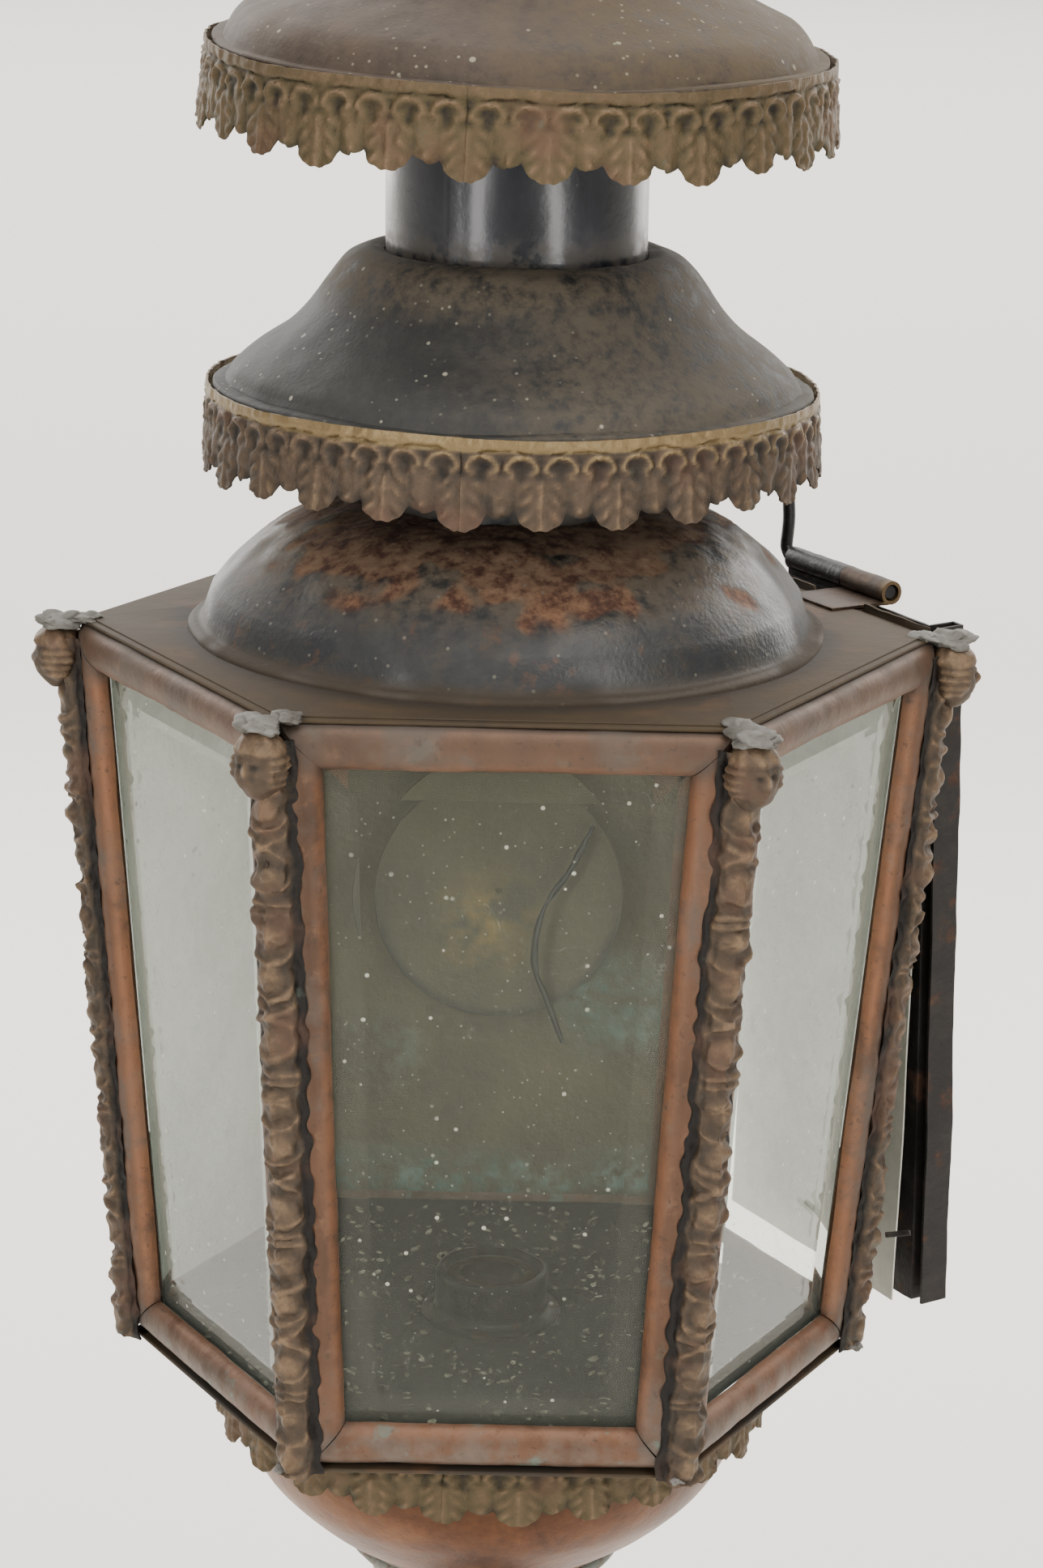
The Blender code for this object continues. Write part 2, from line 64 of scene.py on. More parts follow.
# ---- Camera, studio light and floor.
# A long lens a little above the lamp, two tall soft lamps in front of it, one overhead and two behind,
# over a plain pale floor at the foot of the tail.
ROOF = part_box("top_plate")[1].z
LENS = 89.5
CAMERA_DISTANCE = 1.164
CAMERA_LIFT = math.radians(16.05)
CAMERA_ROLL = math.radians(1.47)
CAMERA_SWING = math.radians(-0.71)
CAMERA_TARGET = Vector((0.0054, 0, ROOF - 0.048))


def aim(holder, spot, target, roll=0.0):
    """Put a camera or lamp at a spot, looking at a target."""
    back = (Vector(spot) - Vector(target)).normalized()
    right = Vector((0, 0, 1)).cross(back)
    right = right.normalized() if right.length > 0.001 else Vector((1, 0, 0))
    up = back.cross(right)
    turned_right = right * math.cos(roll) + up * math.sin(roll)
    turned_up = up * math.cos(roll) - right * math.sin(roll)
    turned = Matrix((turned_right, turned_up, back)).transposed().to_4x4()
    holder.matrix_world = Matrix.Translation(spot) @ turned


swing = Matrix.Rotation(CAMERA_SWING, 4, "Z")
camera_reach = Vector((0, -math.cos(CAMERA_LIFT), math.sin(CAMERA_LIFT))) * CAMERA_DISTANCE
lens = bpy.data.cameras.new("studio_camera")
lens.lens = LENS
camera = bpy.data.objects.new("studio_camera", lens)
bpy.context.scene.collection.objects.link(camera)
aim(camera, swing @ (CAMERA_TARGET + camera_reach), swing @ CAMERA_TARGET, CAMERA_ROLL)
bpy.context.scene.camera = camera


def soft_lamp(name, heading, reach, height, size, watts, colour=(1, 0.97, 0.93), aim_at=None):
    """Rectangular soft lamp, its heading measured round the object from -Y, looking at the body."""
    data = bpy.data.lights.new(name, "AREA")
    data.shape = "RECTANGLE"
    data.size, data.size_y = size
    data.energy = watts
    data.color = colour
    lamp = bpy.data.objects.new(name, data)
    bpy.context.scene.collection.objects.link(lamp)
    turn = math.radians(heading - 90)
    aim(lamp, (reach * math.cos(turn), reach * math.sin(turn), height), aim_at or (0, 0, ROOF - 0.03))
    lamp.visible_camera = False


soft_lamp("left_window", -34, 1.5, 0.62, (0.34, 1.5), 17)
soft_lamp("right_window", 33, 1.5, 0.62, (0.30, 1.5), 15)
soft_lamp("overhead", 20, 0.5, 1.75, (1.5, 1.2), 26)
soft_lamp("back_left", 215, 1.7, 0.8, (0.9, 1.1), 15)
soft_lamp("back_right", 140, 1.7, 0.8, (0.9, 1.1), 15)
soft_lamp("floor_wash", 180, 6.0, 3.0, (12, 10), 1000, aim_at=(0, 6.0, -0.2))
studio = bpy.data.worlds.new("studio")
studio.use_nodes = True
studio.node_tree.nodes["Background"].inputs["Color"].default_value = (1.0, 0.985, 0.96, 1)
studio.node_tree.nodes["Background"].inputs["Strength"].default_value = 0.45
bpy.context.scene.world = studio


# ---- The floor, and how every finish is mixed.
# The floor is plain, pale and matt. Its finish is the first to need these two classes, which mix shader
# nodes by signs and by a few recipes.
class Tone:
    """One socket of a finish. Signs between tones and numbers add Math nodes."""

    def __init__(self, finish, socket):
        self.finish = finish
        self.socket = socket

    def math(self, operation, first, second=0.0):
        sockets = {0: first, 1: second}
        return self.finish.node("Math", {"operation": operation, "use_clamp": False}, sockets)

    def __add__(self, other):
        return self.math("ADD", self, other)

    def __mul__(self, other):
        return self.math("MULTIPLY", self, other)

    def __sub__(self, other):
        return self.math("SUBTRACT", self, other)

    def __rsub__(self, other):
        return self.math("SUBTRACT", other, self)

    def __abs__(self):
        return self.math("ABSOLUTE", self)

    def over(self, other):
        """The larger of the two."""
        return self.math("MAXIMUM", self, other)

    __radd__ = __add__
    __rmul__ = __mul__


class Finish:
    """A material. Its place is the Object coordinates that patterns read, and its facing how far the normal
    points up.
    """

    def __init__(self, name):
        self.material = bpy.data.materials.new(name)
        self.material.use_nodes = True
        self.tree = self.material.node_tree
        self.tree.nodes.clear()
        self.place = self.node("TexCoord", {}, {}, "Object")
        self.facing = self.node("SeparateXYZ", {}, {0: self.node("TexCoord", {}, {}, "Normal")}, "Z")

    def node(self, kind, settings, sockets, out=0):
        made = self.tree.nodes.new("ShaderNode" + kind)
        for key, value in settings.items():
            if key == "stops":
                ramp = made.color_ramp
                while len(ramp.elements) < len(value):
                    ramp.elements.new(0.5)
                for element, (position, colour) in zip(ramp.elements, value):
                    element.position = position
                    element.color = (*colour, 1)
            else:
                setattr(made, key, value)
        for key, value in sockets.items():
            if isinstance(value, Tone):
                self.tree.links.new(value.socket, made.inputs[key])
            elif isinstance(value, tuple) and made.inputs[key].type == "RGBA":
                made.inputs[key].default_value = (*value, 1)
            else:
                made.inputs[key].default_value = value
        return Tone(self, made.outputs[out])

    def axis(self, letter):
        return self.node("SeparateXYZ", {}, {0: self.place}, letter)

    def spread(self, stretch=(1, 1, 1), shift=(0, 0, 0)):
        return self.node("Mapping", {}, {"Vector": self.place, "Scale": stretch, "Location": shift})

    def noise(self, size, detail=3.0, rough=0.55, stretch=(1, 1, 1), shift=(0, 0, 0), warp=0.0):
        """Cloudy pattern between 0 and 1 whose patches are about size metres wide."""
        sockets = {"Vector": self.spread(stretch, shift), "Scale": 0.6 / size, "Detail": detail,
                   "Roughness": rough, "Distortion": warp}
        return self.node("TexNoise", {}, sockets, "Fac")

    def patches(self, low, high, *pattern, **placing):
        """Soft-edged patches: 0 to 1 where such a cloudy pattern goes from low to high."""
        return self.step(self.noise(*pattern, **placing), low, high)

    def cells(self, size, shift=(0, 0, 0)):
        """Distance to the nearest of many scattered points, about size metres apart."""
        sockets = {"Vector": self.spread(shift=shift), "Scale": 1.0 / size}
        return self.node("TexVoronoi", {"feature": "F1"}, sockets, "Distance")

    def specks(self, size, outer, inner, shift=(0, 0, 0)):
        """Round specks on scattered points, fading from inner to outer, both as shares of their spacing."""
        return self.step(self.cells(size, shift), outer, inner)

    def trait(self, name):
        return self.node("Attribute", {"attribute_name": name}, {}, "Fac")

    def step(self, value, low, high, start=0.0, end=1.0):
        """0 to 1 as the value goes smoothly from low to high."""
        sockets = {"Value": value, "From Min": low, "From Max": high, "To Min": start, "To Max": end}
        return self.node("MapRange", {"interpolation_type": "SMOOTHSTEP"}, sockets)

    def near(self, spot, inner, outer):
        """1 within inner of a spot, falling to 0 at outer."""
        away = self.node("VectorMath", {"operation": "DISTANCE"}, {0: self.place, 1: tuple(spot)}, "Value")
        return self.step(away, inner, outer, 1.0, 0.0)

    def ramp(self, value, *stops):
        return self.node("ValToRGB", {"stops": stops}, {0: value})

    def mix(self, factor, first, second, how="MIX"):
        sockets = {0: factor, 6: first, 7: second}
        return self.node("Mix", {"data_type": "RGBA", "blend_type": how}, sockets, 2)

    def bump(self, height, depth):
        """Surface normal over a height between 0 and 1 whose full range is depth metres."""
        return self.node("Bump", {}, {"Strength": 1.0, "Distance": depth, "Height": height})

    def shader(self, colour, roughness, metallic=0.0, normal=None, **fixed):
        sockets = {"Base Color": colour, "Roughness": roughness, "Metallic": metallic}
        sockets.update({key.replace("_", " "): value for key, value in fixed.items()})
        if normal is not None:
            sockets["Normal"] = normal
        return self.node("BsdfPrincipled", {}, sockets)

    def done(self, surface):
        output = self.tree.nodes.new("ShaderNodeOutputMaterial")
        self.tree.links.new(surface.socket, output.inputs["Surface"])
        return self.material


def floor_finish():
    finish = Finish("pale_floor")
    cloud = finish.noise(0.6, 2)
    colour = finish.mix(cloud, (0.90, 0.875, 0.825), (0.93, 0.905, 0.855))
    return finish.done(finish.shader(colour, 0.85, 0.0))


bpy.ops.object.select_all(action="DESELECT")
bpy.ops.mesh.primitive_plane_add(size=24, location=(0, 0, cad_bounds[0][2] - 0.001))
floor = bpy.context.object
floor.name = "studio_floor"
floor.data.materials.append(floor_finish())


# ---- Six copper window frames.
# Each is four lengths of half-round moulding, mitred and soldered at the corners, and stands on a sloping
# face of the body. The front three carry glass, the next two sheet, and the door closes the last.
BODY_RADIUS = 0.130
BODY_TAPER = 0.0789
BODY_BOTTOM = -0.226
MOULDING = 0.0127
STILE = 0.0116
SEAM = 0.0032
FRAME_DEPTH = 0.005
FRAME_TOP = -0.0015
FACE_TILT = math.atan(BODY_TAPER * math.cos(math.radians(30)))
FACES = {"front": 270, "front_right": 330, "rear_right": 30, "rear": 90, "rear_left": 150,
         "front_left": 210}
MITRE_GAP = 0.00012


def face_placement(angle):
    """From a face's own X along it, Y up its slope and Z out of it, to the lamp."""
    heading = math.radians(angle)
    reach = BODY_RADIUS * math.cos(math.radians(30))
    spot = Matrix.Translation((reach * math.cos(heading), reach * math.sin(heading), ROOF))
    lean = Matrix.Rotation(math.radians(90) + FACE_TILT, 4, "X")
    return spot @ Matrix.Rotation(heading + math.radians(90), 4, "Z") @ lean


def face_corners(top, bottom, inset):
    """The four corners of a tapered outline on a face, from bottom left, anticlockwise."""
    corners = []
    for side, height in ((-1, bottom), (1, bottom), (1, top), (-1, top)):
        half = (BODY_RADIUS + BODY_TAPER * height) / 2 - inset
        corners.append(Vector((side * half, height / math.cos(FACE_TILT), 0)))
    return corners


def clear_bench():
    bpy.ops.object.select_all(action="DESELECT")


def picked(piece):
    """Pick one piece alone, ready for an operator."""
    clear_bench()
    piece.select_set(True)
    bpy.context.view_layer.objects.active = piece


def current(name):
    """The object that a primitive has just added, given its name."""
    bpy.context.object.name = name
    return bpy.context.object


def edit(how="SELECT"):
    bpy.ops.object.mode_set(mode="EDIT")
    bpy.ops.mesh.select_all(action=how)


def stop_edit():
    bpy.ops.object.mode_set(mode="OBJECT")


def cut(spot, outward):
    """Saw off what lies beyond a plane, and close the cut."""
    edit()
    bpy.ops.mesh.bisect(plane_co=spot, plane_no=outward, use_fill=True, clear_outer=True)
    stop_edit()


def joined(name, pieces):
    clear_bench()
    for piece in pieces:
        piece.select_set(True)
    bpy.context.view_layer.objects.active = pieces[0]
    if len(pieces) > 1:
        bpy.ops.object.join()
    bpy.context.object.name = name
    return bpy.context.object


def points_of(piece):
    spots = np.empty(len(piece.data.vertices) * 3)
    piece.data.vertices.foreach_get("co", spots)
    return spots.reshape(-1, 3)


def move_points(piece, spots):
    piece.data.vertices.foreach_set("co", np.asarray(spots, dtype=float).ravel())
    piece.data.update()


def set_trait(piece, name, values):
    """A number for each point of the mesh, which the finish reads."""
    trait = piece.data.attributes.get(name) or piece.data.attributes.new(name, "FLOAT", "POINT")
    trait.data.foreach_set("value", np.asarray(values, dtype=np.float32))


def wear(piece, depth, size, seed=0.0):
    """Knock a piece about by hand: soft dents up to depth, about size wide."""
    spots = points_of(piece)
    normals = np.empty(len(spots) * 3)
    piece.data.vertices.foreach_get("normal", normals)
    shift = Vector((seed, seed * 0.7, -seed))
    dents = [noise.noise(Vector(spot) / size + shift) for spot in spots]
    move_points(piece, spots + normals.reshape(-1, 3) * depth * np.array(dents)[:, None])


def smooth(piece, angle=40):
    picked(piece)
    bpy.ops.object.shade_smooth_by_angle(angle=math.radians(angle))


def settle(piece, material, body, slot, *nodes):
    """Give a finished piece its material and its body, and hide the plain nodes that it stands for. The slot
    is not used.
    """
    piece.data.materials.clear()
    piece.data.materials.append(material)
    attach(piece, body)
    if nodes:
        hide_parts(*nodes)


def half_round(outer_start, outer_end, inner_start, inner_end, steps):
    """Half-round moulding between an outer and an inner line, sawn to the mitres at both ends."""
    start, end = (outer_start + inner_start) / 2, (outer_end + inner_end) / 2
    along = (end - start).normalized()
    across = Vector((0, 0, 1)).cross(along)
    if across.dot(inner_start - outer_start) < 0:
        across = -across
    width = abs((inner_start - outer_start).dot(across))
    length = (end - start).length + 3 * MOULDING
    clear_bench()
    bpy.ops.mesh.primitive_cylinder_add(vertices=36, radius=1, depth=length)
    bar = current("moulding")
    edit("DESELECT")
    bpy.ops.mesh.select_mode(type="EDGE")
    stop_edit()
    for edge in bar.data.edges:
        ends = [bar.data.vertices[i].co.z for i in edge.vertices]
        edge.select = abs(ends[0] - ends[1]) > length / 2
    bpy.ops.object.mode_set(mode="EDIT")
    bpy.ops.mesh.subdivide(number_cuts=steps)
    bpy.ops.mesh.select_mode(type="VERT")
    stop_edit()
    cut((0, 0, 0), (0, -1, 0))
    spots = points_of(bar)
    set_trait(bar, "across", spots[:, 0])
    middle = (start + end) / 2 - Vector((0, 0, FRAME_DEPTH))
    shape = Matrix((across * width / 2, Vector((0, 0, FRAME_DEPTH)), along)).transposed().to_4x4()
    bar.data.transform(Matrix.Translation(middle) @ shape)
    if shape.determinant() < 0:
        bar.data.flip_normals()
    for outer, inner, way in ((outer_start, inner_start, -1), (outer_end, inner_end, 1)):
        mitre = (inner - outer).cross(Vector((0, 0, 1))).normalized()
        if mitre.dot(along) * way < 0:
            mitre = -mitre
        cut(outer - mitre * MITRE_GAP, mitre)
    ends = points_of(bar)
    near_mitre = np.zeros(len(ends))
    for outer, inner in ((outer_start, inner_start), (outer_end, inner_end)):
        mitre = (inner - outer).cross(Vector((0, 0, 1))).normalized()
        away = np.abs((ends - np.array(outer)) @ np.array(mitre))
        near_mitre = np.maximum(near_mitre, np.exp(-(away / 0.0022) ** 2))
    set_trait(bar, "mitre", near_mitre)
    return bar


def copper_finish(name, edge_glow=1.0):
    """Brown copper with a purple-grey bloom, rubbed orange beside the glass, dark with grime in the mitres
    and with painted shade along its outer edge under the corner strips.
    """
    finish = Finish(name)
    across = finish.trait("across")
    mitre = finish.trait("mitre")
    broad = finish.noise(0.045, 4, 0.6, warp=0.6)
    fine = finish.noise(0.004, 5, 0.65)
    grain = finish.noise(0.0011, 3, 0.6)
    streak = finish.noise(0.012, 4, 0.65, stretch=(1, 1, 0.22), shift=(0.3, 0, 0.1))
    tone = finish.ramp(broad * 0.5 + streak * 0.5, (0.32, (0.036, 0.022, 0.014)),
                       (0.45, (0.084, 0.044, 0.026)), (0.58, (0.120, 0.060, 0.034)),
                       (0.70, (0.092, 0.061, 0.043)))
    bloom = finish.patches(0.48, 0.66, 0.016, 5, 0.65, shift=(0.2, 0.4, 0))
    tone = finish.mix(bloom * 0.65, tone, (0.074, 0.060, 0.048))
    inner_edge = finish.step(across, 0.30, 0.85) * finish.step(fine + broad * 0.4, 0.45, 0.80)
    tone = finish.mix(inner_edge * (0.62 * edge_glow), tone, (0.215, 0.092, 0.043))
    crest = finish.step(fine, 0.52, 0.70) * finish.step(abs(across), 0.80, 0.35)
    tone = finish.mix(crest * 0.45, tone, (0.175, 0.092, 0.054))
    # Painted shade: the outermost edge of each moulding, under the corner strip, is darkened. In the mitres
    # the darkening is real grime.
    darkening = finish.step(across, -0.78, -0.98).over(mitre * finish.step(fine, 0.30, 0.55)) * 0.7
    tone = finish.mix(darkening, tone, (0.014, 0.010, 0.008))
    speck = finish.patches(0.60, 0.70, 0.0015, 3, 0.7, shift=(0.5, 0.1, 0.7))
    tone = finish.mix(speck * 0.55, tone, (0.036, 0.024, 0.017))
    high = finish.step(finish.axis("Z"), ROOF - 0.020, ROOF - 0.010)
    tone = finish.mix(high * 0.35, tone, (0.078, 0.062, 0.048))
    low = finish.step(finish.axis("Z"), ROOF - 0.196, ROOF - 0.224)
    tone = finish.mix(low * finish.step(fine, 0.35, 0.60) * 0.45, tone, (0.130, 0.112, 0.094))
    green = finish.patches(0.60, 0.70, 0.006, 4, 0.6, shift=(0.9, 0.3, 0.2)) * (low * 0.7 + 0.12)
    tone = finish.mix(green, tone, (0.100, 0.140, 0.118))
    roughness = 0.44 + broad * 0.14 + darkening * 0.25 + bloom * 0.12
    normal = finish.bump(fine * 0.6 + grain * 0.4, 0.00034)
    return finish.done(finish.shader(tone, roughness, 0.62 - darkening * 0.4 - bloom * 0.25, normal))


copper = copper_finish("patinated_copper_moulding")
for name, angle in FACES.items():
    outer = face_corners(FRAME_TOP, BODY_BOTTOM, SEAM)
    inner = face_corners(FRAME_TOP - MOULDING, BODY_BOTTOM + MOULDING, SEAM + STILE)
    bars = []
    for i in range(4):
        j = (i + 1) % 4
        bars.append(half_round(outer[i], outer[j], inner[i], inner[j], 110 if i % 2 == 0 else 170))
    moulding = joined(name + "_moulding", bars)
    wear(moulding, 0.0005, 0.030, angle)
    wear(moulding, 0.00018, 0.007, angle * 0.3)
    moulding.data.transform(face_placement(angle))
    smooth(moulding, 50)
    settle(moulding, copper, "lamp", "patinated_copper", name + "_frame")


# ---- Bevelled plate glass in the three front frames.
# Old panes with a broad hand-ground bevel, clear but hazed inside by soot and dust, with scratches, runs and
# pale specks. The haze's colour also holds painted reflection, dark on the front pane and paler on the
# slanted side panes, and the haze is thickened on the bevels as a band of painted reflection. Lamps shine
# straight through them; eyes see through the real bend of the glass.
PANE_BEVEL = 0.012
PANE_DEPTH = 0.0053
PANE_THICKNESS = 0.0032
PANE_EDGE = 0.0014


def bevelled_pane(name, angle):
    """Cut a plate to the frame, grind its outer rim down, and stand it behind the moulding."""
    clear_bench()
    bpy.ops.mesh.primitive_plane_add(size=2)
    pane = current(name)
    cover = 0.003
    corners = face_corners(FRAME_TOP - MOULDING + cover, BODY_BOTTOM + MOULDING - cover,
                           SEAM + STILE - cover)
    flat = face_corners(FRAME_TOP - MOULDING + cover - PANE_BEVEL,
                        BODY_BOTTOM + MOULDING - cover + PANE_BEVEL, SEAM + STILE - cover + PANE_BEVEL)
    order = sorted(range(4), key=lambda i: math.atan2(pane.data.vertices[i].co.y,
                                                      pane.data.vertices[i].co.x))
    for i, corner in zip(order, corners):
        pane.data.vertices[i].co = corner - Vector((0, 0, PANE_DEPTH + PANE_THICKNESS - PANE_EDGE))
    edit()
    bpy.ops.mesh.inset(thickness=PANE_BEVEL)
    stop_edit()
    inner = [v for v in pane.data.vertices if v.select]
    inner.sort(key=lambda v: math.atan2(v.co.y + 0.112, v.co.x))
    for vertex, corner in zip(inner, sorted(flat, key=lambda v: math.atan2(v.y + 0.112, v.x))):
        vertex.co = corner - Vector((0, 0, PANE_DEPTH))
    edit()
    bpy.ops.mesh.select_mode(type="EDGE")
    bpy.ops.mesh.region_to_loop()
    bpy.ops.mesh.extrude_region_move(TRANSFORM_OT_translate={"value": (0, 0, -PANE_EDGE)})
    bpy.ops.mesh.edge_face_add()
    bpy.ops.mesh.select_mode(type="VERT")
    bpy.ops.mesh.select_all(action="SELECT")
    bpy.ops.mesh.normals_make_consistent(inside=False)
    stop_edit()
    trait = pane.data.attributes.new("bevel", "FLOAT", "FACE")
    trait.data.foreach_set("value", [float(face.normal.z > 0.5 and abs(face.normal.z) < 0.9995)
                                     for face in pane.data.polygons])
    pane.data.transform(face_placement(angle))
    return pane


def glass_finish(name, haze, haze_and_reflection_tone, bend):
    finish = Finish(name)
    cloud = finish.noise(0.050, 4, 0.6, warp=0.5)
    fine = finish.noise(0.0020, 3, 0.6)
    gather = finish.patches(0.38, 0.55, 0.03, 2)
    specks = finish.specks(0.0078, 0.105, 0.065) * gather
    motes = finish.specks(0.0034, 0.11, 0.06, shift=(0.3, 0.1, 0.2)) * 0.40
    thread = finish.noise(0.018, 2, warp=2.0, shift=(0.1, 0.6, 0.3))
    scratch = finish.step(abs(thread - 0.5), 0.0030, 0.0010) * finish.step(cloud, 0.50, 0.60) * 0.18
    grit = finish.patches(0.58, 0.72, 0.0011, 3, 0.7, shift=(0.2, 0.8, 0.5))
    bottom = finish.step(finish.axis("Z"), ROOF - 0.110, ROOF - 0.212)
    bevel = finish.trait("bevel")
    # The bevel term thickens the haze on the bevel faces as a painted reflection band. Cloud, fine and grit
    # are real dust.
    haze_film_and_bevel_reflection = (cloud * 0.6 + fine * 0.25 + 0.25 + bevel * 0.9) * haze + grit * (bottom * 0.16 + 0.05)
    marks = (specks * 0.85).over(motes).over(scratch)
    tone = finish.mix(marks, haze_and_reflection_tone, (0.48, 0.46, 0.38))
    dust = finish.shader(tone, 0.85, 0.0)
    plate = finish.shader((0.90, 0.945, 0.915), 0.02, 0.0, Transmission_Weight=1.0, IOR=bend)
    lit = finish.node("BsdfTransparent", {}, {"Color": (0.86, 0.92, 0.90)})
    lamp_ray = finish.node("LightPath", {}, {}, "Is Shadow Ray")
    clear = finish.node("MixShader", {}, {0: lamp_ray, 1: plate, 2: lit})
    return finish.done(finish.node("MixShader", {}, {0: haze_film_and_bevel_reflection + marks * 0.9, 1: clear, 2: dust}))


# The tone passed here is haze and painted reflection together: darker on the front pane, paler on the
# slanted side panes.
front_pane = glass_finish("front_pane_glass", 0.08, (0.15, 0.15, 0.115), 1.22)
side_pane = glass_finish("side_pane_glass", 0.06, (0.30, 0.31, 0.27), 1.30)
for name, finish in (("front", front_pane), ("front_left", side_pane), ("front_right", side_pane)):
    pane = bevelled_pane(name + "_bevelled_pane", FACES[name])
    settle(pane, finish, "lamp", "bevelled_glass", name + "_glass")


# ---- Stamped brass corner strips.
# Thin brass struck into running ornament with wavy edges, bent round each corner and soldered over the
# frames' edges. At the top each ends in a small draped head of a plain, calm, classical kind.
STRIP_LEG = 0.0088
STRIP_FOOT = -0.2275
STRIP_NECK = -0.0050
STRIP_UNIT = 0.0495
STRIP_SHEET = 0.0007


def thickened(piece, thickness, offset=-1):
    """Give a sheet its thickness; -1 puts it all behind the face, 0 half on either side."""
    picked(piece)
    sheet = piece.modifiers.new("sheet", "SOLIDIFY")
    sheet.thickness = thickness
    sheet.offset = offset
    bpy.ops.object.modifier_apply(modifier="sheet")


def ridge(away, width):
    return np.exp(-(away / width) ** 2)


def boss(s, q, centre, wide, tall):
    """A smooth egg of relief on the strip's crest, in mm."""
    return np.clip(1 - (s * 7.5 / wide) ** 2 - ((q - centre) / tall) ** 2, 0, 1) ** 0.6


def strip_relief(s, q):
    """Height of the stamping, 0 to 1, from the share of the leg s and the place q in one unit, in mm."""
    side = np.abs(s) / 0.62
    inside = np.clip((1.12 - side) / 0.16, 0, 1)
    fillets = ridge(q - 1.4, 0.8) + ridge(q - 4.2, 0.8)
    away = np.hypot(s * 7.5, q - 10.0)
    petals = 0.8 + 0.2 * np.cos(6 * np.arctan2(s * 7.5, q - 10.0))
    rosette = boss(s, q, 10.0, 3.6, 3.8) * petals + 0.4 * ridge(away, 0.9)
    cups = ridge(q - 18.5 + 3.4 * side ** 2, 0.95) + ridge(q - 29.0 + 3.6 * side ** 2, 0.95) \
        + ridge(q - 47.0 + 3.6 * side ** 2, 1.0)
    eggs = boss(s, q, 23.0, 3.0, 4.4) + 0.9 * boss(s, q, 42.2, 3.6, 4.0)
    ribbon = ridge(np.abs(q - 34.0) - 3.8 * side, 1.05) + 0.6 * boss(s, q, 34.0, 1.5, 1.5)
    rim = 0.45 * ridge(side - 1.0, 0.12)
    worn = 0.66 * (0.8 * fillets + rosette + 0.85 * cups + eggs + 0.8 * ribbon) * inside
    return np.clip(worn + 0.26 * inside + rim, 0, 1.1)


def strip_blank(name, heading, seed):
    """One strip, struck and bent, standing on its corner."""
    columns, rows = 34, 420
    clear_bench()
    bpy.ops.mesh.primitive_grid_add(x_subdivisions=columns, y_subdivisions=rows, size=2)
    strip = current(name)
    spots = points_of(strip)
    s = spots[:, 0]
    height = STRIP_FOOT + (spots[:, 1] + 1) / 2 * (STRIP_NECK - STRIP_FOOT)
    run = (STRIP_NECK - height) * 1000 + 4
    drift = np.array([noise.noise(Vector((z * 60, seed, 3))) for z in height])
    relief = strip_relief(s + 0.16 * drift, np.mod(run + 2.5 * drift, STRIP_UNIT * 1000))
    uneven = np.array([noise.noise(Vector((seed, z * 110, side))) for z, side in zip(height, np.sign(s))])
    scallop = np.cos(2 * np.pi * (run + 2 * np.sign(s)) / 10.4) * 0.55 + uneven * 0.9
    leg = STRIP_LEG * (0.93 + 0.085 * scallop)
    away = np.abs(s) * leg
    bend = np.clip(np.abs(s) / 0.45, 0, 1)
    bend = np.sign(s) * np.radians(30) * bend * bend * (3 - 2 * bend)
    crest = np.clip((0.72 - np.abs(s)) / 0.30, 0, 1)
    crest = crest * crest * (3 - 2 * crest)
    out = 0.0008 + 0.0024 * crest * (0.8 + 0.2 * scallop)
    out += relief * 0.0017 * np.clip(1.25 - np.abs(s), 0, 1)
    out -= 0.0006 * np.clip((np.abs(s) - 0.90) / 0.10, 0, 1)
    corner = BODY_RADIUS + BODY_TAPER * height
    x = corner - away * 0.5 + out * np.cos(bend)
    y = np.sign(s) * away * 0.866 + out * np.sin(bend)
    move_points(strip, np.stack([x, y, height + ROOF], 1))
    set_trait(strip, "relief", relief * 0.7 + crest * 0.3)
    wear(strip, 0.0014, 0.0040, seed)
    wear(strip, 0.0009, 0.016, seed + 3)
    thickened(strip, STRIP_SHEET)
    strip.data.transform(Matrix.Rotation(heading, 4, "Z"))
    return strip


